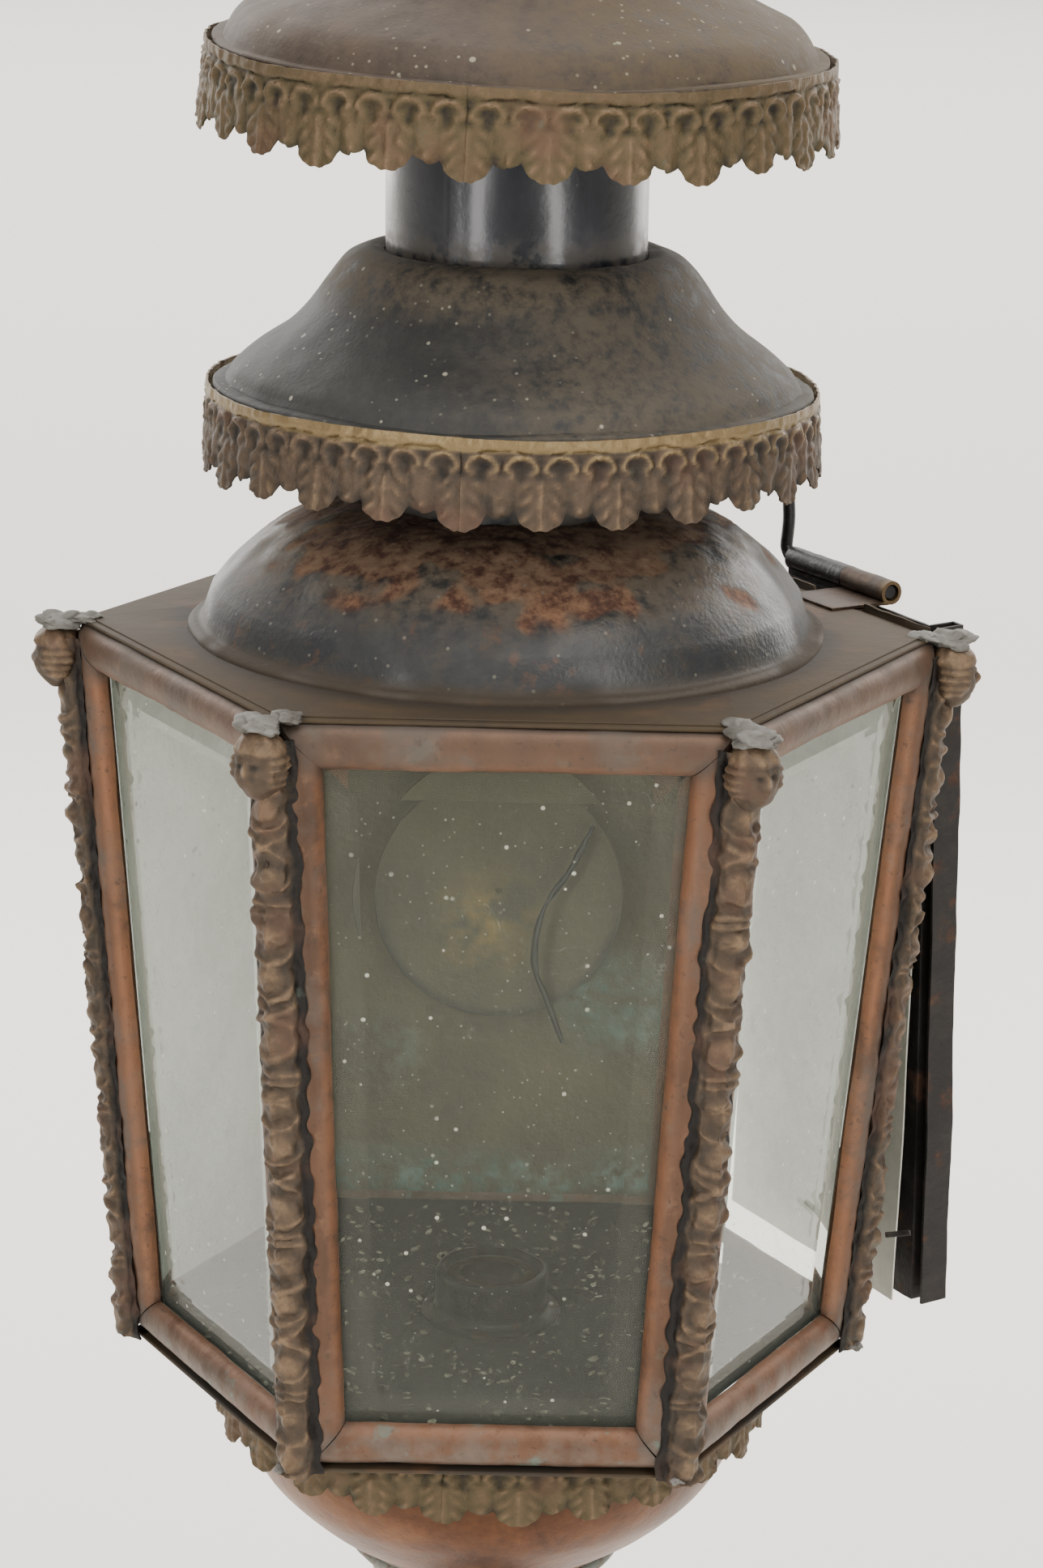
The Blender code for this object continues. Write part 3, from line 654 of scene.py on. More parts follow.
def strip_head(name, heading, seed):
    """A small worn head: an egg shape with a brow, nose, lips and chin, under a rolled headdress."""
    clear_bench()
    bpy.ops.mesh.primitive_uv_sphere_add(segments=56, ring_count=44, radius=1)
    head = current(name)
    spots = points_of(head)
    front, side, up = spots[:, 0].copy(), spots[:, 1].copy(), spots[:, 2].copy()
    facing = np.clip(front, 0, 1)
    jaw = 1 - 0.24 * np.clip(-up, 0, 1) ** 1.5
    deep, wide, tall = 0.0070 * np.ones_like(up), 0.0074 * jaw, 0.0096
    nose = ridge(side, 0.13) * ridge(up + 0.08, 0.17) * 0.0014
    nose += ridge(side, 0.09) * ridge(up - 0.10, 0.16) * 0.0006
    brow = ridge(up - 0.24, 0.08) * ridge(np.abs(side) - 0.27, 0.22) * 0.0006
    sockets = ridge(np.abs(side) - 0.30, 0.13) * ridge(up - 0.11, 0.09) * 0.0008
    lids = ridge(np.abs(side) - 0.30, 0.09) * ridge(up - 0.10, 0.04) * 0.0004
    lips = ridge(side, 0.20) * (ridge(up + 0.37, 0.04) + ridge(up + 0.47, 0.045)) * 0.0005
    chin = ridge(side, 0.20) * ridge(up + 0.70, 0.13) * 0.0007
    cheeks = ridge(np.abs(side) - 0.42, 0.18) * ridge(up + 0.16, 0.18) * 0.0004
    features = (nose + brow + lids + lips + chin + cheeks - sockets) * facing
    roll = np.clip((up - 0.36) / 0.12, 0, 1)
    twist = np.cos(9 * np.arctan2(side, front) + 5 * up)
    dress = roll * (0.0011 + 0.00018 * twist)
    curls = np.clip((np.abs(side) - 0.68) / 0.14, 0, 1) * (0.0008 + 0.0004 * np.cos(26 * up)) * (1 - roll)
    grow = features + dress + curls
    x = front * (deep + grow)
    y = side * (wide + grow * 0.8)
    z = up * (tall + dress * 0.5)
    centre = BODY_RADIUS + 0.0022
    move_points(head, np.stack([x + centre, y, z - 0.0115 + ROOF], 1))
    set_trait(head, "relief", 0.55 + grow * 300 - sockets * facing * 600)
    wear(head, 0.0008, 0.0035, seed)
    head.data.transform(Matrix.Rotation(heading, 4, "Z"))
    return head


def brass_finish(name, band_low=None, band_high=None, warm=0.0):
    """Brown bronzed brass, near black in the stamping's hollows and brassy on what hands have rubbed.
    A golden band can lie between two heights."""
    finish = Finish(name)
    relief = finish.trait("relief")
    fine = finish.noise(0.0022, 4, 0.65)
    broad = finish.noise(0.030, 3, 0.6, warp=0.4)
    level = relief * 0.62 + fine * 0.55 + broad * 0.25 - 0.20
    tone = finish.ramp(level, (0.22, (0.008, 0.006, 0.005)),
                       (0.44, (0.036 + warm, 0.026 + warm * 0.8, 0.017)),
                       (0.66, (0.074 + warm, 0.049 + warm * 0.7, 0.030)), (0.84, (0.165, 0.108, 0.062)))
    red = finish.patches(0.52, 0.68, 0.016, 3, shift=(0.4, 0.8, 0.1))
    tone = finish.mix(red * 0.50, tone, (0.088, 0.044, 0.027))
    gold = 0.0
    if band_low is not None:
        height = finish.axis("Z")
        band = finish.step(height, band_low, band_low + 0.0012)
        band = band * finish.step(height, band_high, band_high - 0.001)
        scrolls = finish.step(height, band_low - 0.0075, band_low - 0.003) * finish.step(relief, 0.55, 0.95)
        scrolls = scrolls * finish.step(finish.axis("X"), -0.055, 0.010)
        rubbed = fine * 0.6 + finish.noise(0.020, 3, shift=(0.1, 0.2, 0.3))
        gold = band.over(scrolls) * finish.step(rubbed, 0.42, 0.70)
        tone = finish.mix(gold * 0.8, tone, (0.185, 0.130, 0.056))
    dusty = finish.step(finish.facing, 0.35, 0.9) * finish.step(fine, 0.40, 0.65)
    tone = finish.mix(dusty * 0.40, tone, (0.060, 0.050, 0.038))
    green = finish.patches(0.64, 0.74, 0.005, 4, 0.6, shift=(0.9, 0.1, 0.5))
    tone = finish.mix(green * 0.5, tone, (0.056, 0.071, 0.056))
    roughness = 0.62 - relief * 0.14 + fine * 0.15 - gold * 0.15
    normal = finish.bump(fine * 0.7 + finish.noise(0.0008, 2) * 0.3, 0.00060)
    return finish.done(finish.shader(tone, roughness, 0.50, normal))


strip_brass = brass_finish("stamped_strip_brass")
for i in range(6):
    heading = math.radians(240 + 60 * i)
    pieces = [strip_blank("strip", heading, 1.7 * i), strip_head("head", heading, 2.3 * i + 0.5)]
    strip = joined(f"stamped_corner_strip_{i + 1}", pieces)
    smooth(strip, 60)
    settle(strip, strip_brass, "lamp", "stamped_brass", f"corner_strip_{i + 1}")


# ---- Soft solder on the corners.
# Grey-white lumps where each strip's head and foot were sweated to the roof and the base ring.
def lump(spot, size, seed):
    """A frozen drop of metal: a ball pressed flat and roughened."""
    clear_bench()
    bpy.ops.mesh.primitive_ico_sphere_add(subdivisions=4, radius=1)
    ball = current("lump")
    spots = points_of(ball)
    shift = Vector((seed, -seed, seed * 0.5))
    rough = np.array([0.80 + 0.42 * noise.noise(Vector(p) * 1.4 + shift)
                      + 0.14 * noise.noise(Vector(p) * 5 + shift) for p in spots])
    move_points(ball, spots * rough[:, None] * np.array(size) + np.array(spot))
    return ball


def solder_finish():
    finish = Finish("soft_solder")
    fine = finish.noise(0.0020, 4, 0.7)
    cloud = finish.noise(0.007, 3)
    tone = finish.ramp(cloud * 0.6 + fine * 0.4, (0.32, (0.055, 0.048, 0.040)),
                       (0.50, (0.120, 0.114, 0.100)), (0.68, (0.190, 0.187, 0.172)))
    return finish.done(finish.shader(tone, 0.62 + fine * 0.15, 0.25, finish.bump(fine, 0.0004)))


solder = []
for i in range(6):
    heading = math.radians(240 + 60 * i)
    turn = Matrix.Rotation(heading, 4, "Z")
    top, foot = BODY_RADIUS, BODY_RADIUS + BODY_TAPER * STRIP_FOOT
    drops = ((top + 0.0012, 0.0008 * (i % 3 - 1), -0.0008, (0.0081, 0.0076, 0.0034)),
             (top - 0.0062, 0.0035 - 0.0024 * (i % 4), 0.0004, (0.0056, 0.0052, 0.0019)),
             (foot + 0.0015, -0.0030, STRIP_FOOT + 0.0012, (0.0026, 0.0030, 0.0016)))
    for reach, side, height, size in drops:
        ball = lump((reach, side, height + ROOF), size, i + reach * 50 + side * 90)
        ball.data.transform(turn)
        solder.append(ball)
solder = joined("corner_solder", solder)
smooth(solder, 80)
settle(solder, solder_finish(), "lamp", "stamped_brass")


# ---- Roof plate and base ring.
# Two hexagons of sheet copper. The roof's edge is folded down over the frames, which leaves a fine line just
# inside it, and the sheet is olive-brown, darker in a smooth ring round the hood's foot, with orange where
# it has been rubbed.
def roof_finish():
    finish = Finish("olive_roof_copper")
    broad = finish.noise(0.040, 4, 0.6, warp=0.8)
    fine = finish.noise(0.0035, 5, 0.65)
    streak = finish.noise(0.010, 3, 0.6, stretch=(0.35, 1, 1), shift=(0.2, 0, 0))
    tone = finish.ramp(broad * 0.6 + fine * 0.25 + streak * 0.15, (0.32, (0.026, 0.018, 0.010)),
                       (0.48, (0.036, 0.023, 0.010)), (0.60, (0.048, 0.030, 0.012)),
                       (0.74, (0.068, 0.034, 0.013)))
    away = finish.node("VectorMath", {"operation": "LENGTH"}, {0: finish.spread((1, 1, 0))}, "Value")
    # Darker in a smooth ring round the hood's foot.
    foot = finish.step(away, 0.103, 0.094)
    tone = finish.mix(foot * 0.75, tone, (0.017, 0.013, 0.010))
    rust = finish.step(away, 0.112, 0.097) * finish.patches(0.52, 0.66, 0.018, 4, shift=(0.4, 0, 0))
    tone = finish.mix(rust * 0.6, tone, (0.089, 0.043, 0.017))
    spots = finish.patches(0.66, 0.76, 0.0030, 3, shift=(0.7, 0.2, 0))
    tone = finish.mix(spots * 0.6, tone, (0.020, 0.016, 0.013))
    pale = finish.patches(0.58, 0.74, 0.022, 5, 0.7, shift=(0.1, 0.9, 0))
    tone = finish.mix(pale * 0.35, tone, (0.070, 0.060, 0.042))
    normal = finish.bump(fine * 0.6 + broad * 0.4, 0.0004)
    return finish.done(finish.shader(tone, 0.66 + broad * 0.2 + pale * 0.1, 0.25, normal))


def rounded(piece, width, segments):
    """Round over all the edges of a piece."""
    picked(piece)
    rounding = piece.modifiers.new("rounding", "BEVEL")
    rounding.width = width
    rounding.segments = segments
    bpy.ops.object.modifier_apply(modifier="rounding")


def hexagon_sheet(name, radius, hole, top, lip):
    """Hexagonal sheet with a round hole, its edge folded down by a lip."""
    clear_bench()
    bpy.ops.mesh.primitive_circle_add(vertices=6, radius=radius, fill_type="NGON", location=(0, 0, top))
    sheet = current(name)
    bpy.ops.object.transform_apply(location=True)
    spin_to = math.atan2(sheet.data.vertices[0].co.y, sheet.data.vertices[0].co.x)
    sheet.data.transform(Matrix.Rotation(-spin_to, 4, "Z"))
    edit()
    bpy.ops.mesh.extrude_region_move(TRANSFORM_OT_translate={"value": (0, 0, -lip)})
    bpy.ops.mesh.select_all(action="SELECT")
    bpy.ops.mesh.normals_make_consistent(inside=False)
    stop_edit()
    clear_bench()
    bpy.ops.mesh.primitive_cylinder_add(vertices=96, radius=hole, depth=0.02, location=(0, 0, top))
    punch = current("punch")
    picked(sheet)
    hole_cut = sheet.modifiers.new("hole", "BOOLEAN")
    hole_cut.object = punch
    bpy.ops.object.modifier_apply(modifier="hole")
    bpy.data.objects.remove(punch)
    rounded(sheet, 0.0005, 3)
    return sheet


ROOF_RADIUS = 0.126
roof_copper = roof_finish()
roof = hexagon_sheet("roof_plate", ROOF_RADIUS, 0.060, ROOF, 0.0012)
inner_sheet = hexagon_sheet("roof_sheet", ROOF_RADIUS - 0.0026, 0.061, ROOF + 0.0005, 0.0007)
roof = joined("roof_plate", [roof, inner_sheet])
smooth(roof, 30)
settle(roof, roof_copper, "lamp", "patinated_copper", "top_plate")
base = hexagon_sheet("base_plate", 0.1108, 0.060, ROOF + BODY_BOTTOM - 0.0005, 0.0012)
smooth(base, 30)
settle(base, roof_copper, "lamp", "patinated_copper", "base_ring")


# ---- Spun pieces: the iron hood, the chimney tube and the two bell caps.
# Each is sheet metal turned on a former. The hood is black iron scaling to orange rust on its shoulder, the
# tube is glossy black, the middle cap is sooty and dusty, and the upper cap is brown copper.
def soft_line(points, steps):
    """A smooth line through a few points, as a turner would fair it."""
    rows = [Vector(p) for p in points]
    rows = [rows[0] * 2 - rows[1]] + rows + [rows[-1] * 2 - rows[-2]]
    line = []
    for a, b, c, d in zip(rows, rows[1:], rows[2:], rows[3:]):
        for i in range(steps):
            t = i / steps
            line.append(0.5 * (2 * b + (c - a) * t + (2 * a - 5 * b + 4 * c - d) * t ** 2
                               + (3 * b - a - 3 * c + d) * t ** 3))
    line.append(rows[-2])
    return line


def spun(name, line, sides=160, wall=0.0008, closed=False):
    """Turn an outline of (radius, height) points round the axis, the outer face first, going down."""
    clear_bench()
    start = line[0]
    bpy.ops.mesh.primitive_circle_add(vertices=sides, radius=max(start[0], 0.00002), fill_type="NOTHING",
                                      location=(0, 0, start[1] + ROOF))
    piece = current(name)
    edit()
    for last, here in zip(line, line[1:]):
        bpy.ops.mesh.extrude_region_move(TRANSFORM_OT_translate={"value": (0, 0, here[1] - last[1])})
        grow = max(here[0], 0.00002) / max(last[0], 0.00002)
        bpy.ops.transform.resize(value=(grow, grow, 1), center_override=(0, 0, 0))
    if closed:
        bpy.ops.mesh.select_all(action="SELECT")
        bpy.ops.mesh.remove_doubles(threshold=0.00008)
    bpy.ops.mesh.select_all(action="SELECT")
    bpy.ops.mesh.normals_make_consistent(inside=False)
    stop_edit()
    bpy.ops.object.transform_apply(location=True)
    if wall:
        piece["wall"] = wall
    return piece


def walled(piece, angle=40):
    """Give a spun sheet its thickness, inwards, and smooth it."""
    thickened(piece, piece["wall"])
    smooth(piece, angle)
    return piece


def hood_finish():
    finish = Finish("flaking_hood_iron")
    height = finish.axis("Z")
    shoulder = finish.step(height, ROOF + 0.012, ROOF + 0.036)
    broad = finish.noise(0.020, 5, 0.62, warp=0.5)
    fine = finish.noise(0.0030, 5, 0.68)
    flake = finish.trait("flake")
    paint = finish.ramp(broad * 0.6 + fine * 0.4, (0.34, (0.007, 0.008, 0.009)),
                        (0.52, (0.015, 0.016, 0.017)), (0.70, (0.028, 0.029, 0.027)))
    bloom = finish.patches(0.50, 0.68, 0.012, 4, 0.6, shift=(0.2, 0.5, 0.1))
    paint = finish.mix(bloom * 0.4, paint, (0.034, 0.034, 0.029))
    tan = finish.patches(0.50, 0.66, 0.0060, 5, 0.7, shift=(0.6, 0.2, 0.3))
    paint = finish.mix(tan * 0.55, paint, (0.036, 0.027, 0.017))
    scale = finish.ramp(fine * 0.65 + broad * 0.35, (0.34, (0.018, 0.008, 0.005)),
                        (0.46, (0.058, 0.020, 0.010)), (0.56, (0.150, 0.062, 0.028)),
                        (0.68, (0.250, 0.160, 0.095)))
    tone = finish.mix(finish.step(flake, 0.40, 0.52), paint, scale)
    dust = shoulder * finish.step(fine + broad * 0.5, 0.58, 0.86)
    tone = finish.mix(dust * 0.70, tone, (0.150, 0.112, 0.072))
    rusty = finish.patches(0.57, 0.70, 0.0060, 4, 0.65, shift=(0.3, 0.1, 0.6))
    tone = finish.mix(rusty * 0.60, tone, (0.064, 0.030, 0.015))
    specks = finish.specks(0.0050, 0.13, 0.08, (0.4, 0.1, 0.7))
    tone = finish.mix(specks * 0.6, tone, (0.130, 0.118, 0.094))
    foot = finish.step(height, ROOF + 0.0065, ROOF + 0.0015)
    tone = finish.mix(foot * 0.8, tone, (0.040, 0.028, 0.016))
    matt = finish.step(flake, 0.35, 0.55)
    sheen = finish.patches(0.46, 0.58, 0.030, 2, shift=(0.9, 0.4, 0.6))
    roughness = 0.66 - sheen * 0.26 + matt * 0.28 + dust * 0.2 + foot * 0.3
    normal = finish.bump(fine * 0.55 + finish.noise(0.0009, 3) * 0.45, 0.00040)
    return finish.done(finish.shader(tone, roughness, 0.12, normal))


hood = spun("iron_hood", soft_line([(0.0381, 0.0388), (0.0460, 0.0378), (0.0580, 0.0350), (0.0700, 0.0288),
                                    (0.0803, 0.0198), (0.0865, 0.0122)], 8)
            + soft_line([(0.0873, 0.0100), (0.0892, 0.0040), (0.0905, 0.0026), (0.0922, 0.0022),
                         (0.0934, 0.0014), (0.0936, 0.0002)], 4)[1:], 300)
spots = points_of(hood)
shoulder = np.clip((spots[:, 2] - ROOF - 0.0135) / 0.016, 0, 1)
patch = np.array([noise.noise(Vector(p) * 42 + Vector((3.1, 0.4, 1.7))) * 0.7
                  + noise.noise(Vector(p) * 130) * 0.4 for p in spots])
front_left = np.exp(-((spots[:, 0] + 0.030) / 0.022) ** 2 - ((spots[:, 1] + 0.052) / 0.020) ** 2) * 0.35
right_side = np.exp(-((spots[:, 0] - 0.036) / 0.034) ** 2 - ((spots[:, 1] + 0.040) / 0.030) ** 2) * 0.38
crown = np.clip((spots[:, 2] - ROOF - 0.028) / 0.008, 0, 1) * 0.40
flake = np.clip(0.34 + patch * 0.95 * shoulder + (front_left + right_side + crown - 0.10) * shoulder, 0, 1)
flake_edge = np.clip((flake - 0.42) / 0.16, 0, 1)
pits = np.array([noise.noise(Vector(p) * 420) for p in spots])
sink = -0.00045 * flake_edge + 0.00035 * pits * flake_edge
crust = np.clip((spots[:, 2] - ROOF - 0.0235) / 0.008, 0, 1)
rough = np.array([noise.noise(Vector(p) * 150) + 0.6 * noise.noise(Vector(p) * 330) for p in spots])
sink += crust * (0.00055 * rough + 0.0002)
outward = spots * np.array((1, 1, 0))
outward /= np.linalg.norm(outward, axis=1)[:, None]
move_points(hood, spots + (outward * 0.6 + np.array((0, 0, 0.8))) * sink[:, None])
set_trait(hood, "flake", flake)
wear(hood, 0.0011, 0.035, 2.0)
settle(walled(hood), hood_finish(), "lamp", "black_iron", "lower_dome")


def tube_finish():
    """Glossy blue-black enamel with dull rubs, dust at its foot and a lapped seam."""
    finish = Finish("glossy_tube_enamel")
    height = finish.axis("Z")
    fine = finish.noise(0.0030, 4, 0.65)
    rub = finish.noise(0.010, 4, 0.6, stretch=(1, 1, 0.30), shift=(0.3, 0.2, 0))
    tone = finish.ramp(rub, (0.40, (0.006, 0.008, 0.011)), (0.58, (0.012, 0.014, 0.020)),
                       (0.74, (0.030, 0.034, 0.039)))
    dust = finish.step(height, ROOF + 0.123, ROOF + 0.112) * finish.step(fine, 0.35, 0.60)
    tone = finish.mix(dust * 0.6, tone, (0.067, 0.053, 0.036))
    chips = finish.patches(0.70, 0.76, 0.0022, 3, shift=(0.6, 0.3, 0.2))
    tone = finish.mix(chips * 0.6, tone, (0.112, 0.090, 0.067))
    roughness = 0.20 + rub * 0.16 + dust * 0.4 + chips * 0.3
    return finish.done(finish.shader(tone, roughness, 0.15, finish.bump(fine, 0.00012), Coat_Weight=0.25,
                                     Coat_Roughness=0.15))


TUBE_RADIUS = 0.0375
tube_line = [(TUBE_RADIUS, 0.176 - 0.004 * i) for i in range(36)] + [(TUBE_RADIUS, 0.030)]
tube = spun("chimney_pipe", tube_line, 240)
spots = points_of(tube)
seam = np.degrees(np.arctan2(spots[:, 1], spots[:, 0])) + 123
lap = np.where((seam > 0) & (seam < 9), 0.00045 * (1 - seam / 9), 0)
spots[:, :2] *= (1 + lap / TUBE_RADIUS)[:, None]
move_points(tube, spots)
wear(tube, 0.0005, 0.025, 5.0)
settle(walled(tube, 30), tube_finish(), "lamp", "black_iron", "chimney_tube")


def cap_finish(name, sooty):
    """Bell cap: soot-black and blue-grey, or brown copper; with dust on the upper right and pale specks."""
    finish = Finish(name)
    broad = finish.noise(0.030, 5, 0.62, warp=0.6)
    fine = finish.noise(0.0026, 5, 0.70)
    mix_level = broad * 0.6 + fine * 0.4
    if sooty:
        tone = finish.ramp(mix_level, (0.34, (0.008, 0.008, 0.008)), (0.50, (0.014, 0.014, 0.013)),
                           (0.66, (0.026, 0.025, 0.022)))
        dust_tone, speck_tone, metallic = (0.090, 0.071, 0.046), (0.250, 0.232, 0.180), 0.05
        crown_low = ROOF + 0.099
    else:
        tone = finish.ramp(mix_level, (0.34, (0.026, 0.018, 0.012)), (0.48, (0.048, 0.033, 0.022)),
                           (0.62, (0.066, 0.045, 0.029)), (0.76, (0.050, 0.040, 0.029)))
        dust_tone, speck_tone, metallic = (0.085, 0.064, 0.034), (0.215, 0.195, 0.140), 0.30
        crown_low = ROOF + 0.196
    side = finish.step(finish.axis("X") + broad * 0.05 + fine * 0.02, 0.010, 0.062)
    crown = finish.step(finish.axis("Z") + fine * 0.008, crown_low, crown_low + 0.012)
    dust = (side * 0.65).over(crown * 0.85) * finish.step(fine + broad * 0.4, 0.48, 0.80)
    tone = finish.mix(dust * 0.85, tone, dust_tone)
    gather = finish.patches(0.46, 0.62, 0.022, 3, shift=(0.8, 0.1, 0.3))
    specks = finish.specks(0.0034, 0.17, 0.10, (0.2, 0.6, 0.1)) * gather
    drops = finish.specks(0.0115, 0.090, 0.060, (0.5, 0.2, 0.4))
    tone = finish.mix((specks * 0.75).over(drops), tone, speck_tone)
    pits = finish.patches(0.66, 0.76, 0.0040, 3, shift=(0.6, 0.9, 0.2))
    tone = finish.mix(pits * 0.5, tone, (0.025, 0.014, 0.008))
    roughness = 0.58 + dust * 0.25 + broad * 0.15
    normal = finish.bump(fine * 0.6 + finish.noise(0.0008, 2) * 0.4, 0.00035)
    return finish.done(finish.shader(tone, roughness, metallic, normal))


def rim_bead(radius, height):
    """The wired edge of a cap: a small roll that turns under."""
    roll = 0.0011
    turns = [math.radians(a) for a in (60, 30, 0, -35, -75, -120, -165)]
    return [Vector((radius + roll * math.cos(a), height + roll * math.sin(a))) for a in turns]


middle = soft_line([(0.0381, 0.1113), (0.0400, 0.1119), (0.0430, 0.1122), (0.0482, 0.1102),
                    (0.0518, 0.1068), (0.0550, 0.1026), (0.0582, 0.0980), (0.0625, 0.0930),
                    (0.0672, 0.0886), (0.0750, 0.0830), (0.0802, 0.0786), (0.0822, 0.0754),
                    (0.0832, 0.0738)], 7) + rim_bead(0.0857, 0.0726)
middle = spun("middle_bell_cap", middle, 240)
wear(middle, 0.0012, 0.040, 7.0)
wear(middle, 0.0003, 0.010, 8.0)
settle(walled(middle), cap_finish("sooty_cap_iron", True), "lamp", "black_iron", "middle_cap")

TOP_CAP_LEAN = Matrix.Rotation(math.radians(1.1), 4, "Y")
top_centre = Matrix.Translation((0, 0, ROOF + 0.1715))
lean = top_centre @ Matrix.Rotation(math.radians(2.1), 4, "X") @ TOP_CAP_LEAN @ top_centre.inverted()
upper = soft_line([(0.0032, 0.2165), (0.0140, 0.2150), (0.0260, 0.2102), (0.0360, 0.2040), (0.0440, 0.1973),
                   (0.0510, 0.1915), (0.0593, 0.1867), (0.0678, 0.1830), (0.0755, 0.1797), (0.0788, 0.1779),
                   (0.0815, 0.1753), (0.0834, 0.1722), (0.0845, 0.1700)], 7) + rim_bead(0.0868, 0.1689)
upper = spun("upper_bell_cap", upper, 240)
wear(upper, 0.0012, 0.040, 9.0)
wear(upper, 0.0003, 0.010, 9.5)
upper.data.transform(lean)
settle(walled(upper), cap_finish("brown_cap_copper", False), "lamp", "patinated_copper", "top_cap")


# ---- Stamped brass galleries.
# A strip struck with C-scrolls over a row of large ribbed leaves and small buds, cut out along its lower
# edge, rolled into a ring round each cap's rim and under the base, and lapped at one seam.
GALLERY_STEPS = 30


def gallery_shape(p, depth):
    """Relief 0 to 1, p mm across from the large leaf's middle and depth mm below the top."""
    leaf_off, bud_off = np.abs(p), np.abs(np.abs(p) - 10.6)
    scroll_off = np.abs(p) - 5.3
    arch = ridge(np.hypot(scroll_off, (depth - 8.2) * 1.25) - 4.3, 1.15)
    arch = arch * np.clip((9.6 - depth) / 1.5, 0, 1)
    curls = ridge(np.hypot(np.abs(scroll_off) - 2.6, depth - 9.2), 1.5)
    leaf = np.clip(1 - (leaf_off / 6.9) ** 4, 0, 1) ** 0.7 * np.clip((depth - 10.0) / 2.0, 0, 1)
    lobes = np.cos(2 * np.pi * (depth - 0.8 * leaf_off) / 4.4) * np.clip((leaf_off - 1.5) / 2.0, 0, 1)
    leaf = leaf * (0.42 + 0.20 * lobes + 0.26 * ridge(leaf_off, 0.9) + 0.12 * ridge(leaf_off - 4.0, 1.6))
    husk = np.clip(1 - (bud_off / 3.9) ** 2 - ((depth - 14.2) / 5.2) ** 2, 0, 1) ** 0.5
    husk = husk * 0.55 + 0.22 * ridge(np.hypot(bud_off, (depth - 14.2) * 0.72) - 4.2, 0.7) * (depth > 10)
    drip = ridge(np.hypot(bud_off, depth - 19.2), 1.2) * 0.5
    band = 0.55 * np.clip((3.2 - depth) / 0.5, 0, 1) + 0.30 * ridge(depth - 4.3, 0.7)
    return np.clip(0.16 + 0.62 * arch + 0.55 * curls + leaf + husk + drip + band, 0, 1.05)


def gallery_edge(p, drop):
    """Depth of the cut edge, in mm: a long leaf, a short bud on either side, small notches between."""
    leaf_share = np.clip(1 - (np.abs(p) / 6.7) ** 2, 0, 1)
    leaf = 0.74 + 0.26 * leaf_share ** 0.42 - 0.012 * np.cos(p * 1.9) * leaf_share
    bud = 0.74 + 0.11 * np.clip(1 - ((np.abs(p) - 10.6) / 4.2) ** 2, 0, 1) ** 0.5
    return np.maximum(leaf, bud) * drop


def gallery(name, radius, top, drop, flare, repeats, seed):
    columns = repeats * GALLERY_STEPS
    clear_bench()
    bpy.ops.mesh.primitive_grid_add(x_subdivisions=columns, y_subdivisions=26, size=2)
    ring = current(name)
    spots = points_of(ring)
    u = (spots[:, 0] + 1) / 2 * repeats
    which = np.floor(u + 0.5).astype(int) % repeats
    p = (u - np.floor(u + 0.5)) * 21.2
    chance = random.Random(seed)
    bent = np.array([chance.uniform(-0.9, 1.1) for _ in range(repeats)])
    short = np.array([chance.uniform(0.93, 1.0) for _ in range(repeats)])
    share = (1 - spots[:, 1]) / 2
    depth = share * gallery_edge(p, drop * 1000) * short[which]
    relief = gallery_shape(p, depth * 0.0253 / drop)
    angle = 2 * np.pi * u / repeats
    lap = 0.0007 * np.clip(1 - u / 0.5, 0, 1)
    curl = (depth / (drop * 1000)) ** 2
    reach = radius + 0.0002 + flare * depth / (drop * 1000) + relief * 0.0019
    reach += bent[which] * 0.0009 * curl + lap
    reach += np.array([noise.noise(Vector((math.cos(a) * 2, math.sin(a) * 2, seed)))
                       for a in angle]) * 0.0009
    height = top - depth / 1000 + 0.0004 * np.sin(angle * 5 + seed)
    move_points(ring, np.stack([reach * np.cos(angle), reach * np.sin(angle), height + ROOF], 1))
    set_trait(ring, "relief", relief)
    wear(ring, 0.0006, 0.0032, seed)
    edit()
    bpy.ops.mesh.normals_make_consistent(inside=False)
    stop_edit()
    outward = ring.data.polygons[0].normal.dot(ring.data.polygons[0].center * Vector((1, 1, 0)))
    if outward < 0:
        ring.data.flip_normals()
    thickened(ring, 0.0006)
    return ring


GALLERY_TURN = Matrix.Rotation(math.radians(-99), 4, "Z")
golden_brass = brass_finish("golden_banded_brass", ROOF + 0.0690, ROOF + 0.0745)
dark_brass = brass_finish("bronzed_gallery_brass", warm=0.018)
for name, node, radius, top, drop, flare, repeats, finish in (
        ("middle_stamped_gallery", "middle_gallery", 0.0872, 0.0735, 0.0253, 0.0016, 26, golden_brass),
        ("upper_stamped_gallery", "top_gallery", 0.0880, 0.1697, 0.0253, 0.0018, 26, dark_brass),
        ("base_stamped_gallery", "bottom_gallery", 0.0826, -0.2282, 0.0222, 0.0008, 24, dark_brass)):
    ring = gallery(name, radius, top, drop, flare, repeats, len(name))
    ring.data.transform(GALLERY_TURN)
    if node == "top_gallery":
        ring.data.transform(lean)
    smooth(ring, 60)
    settle(ring, finish, "lamp", "stamped_brass", node)


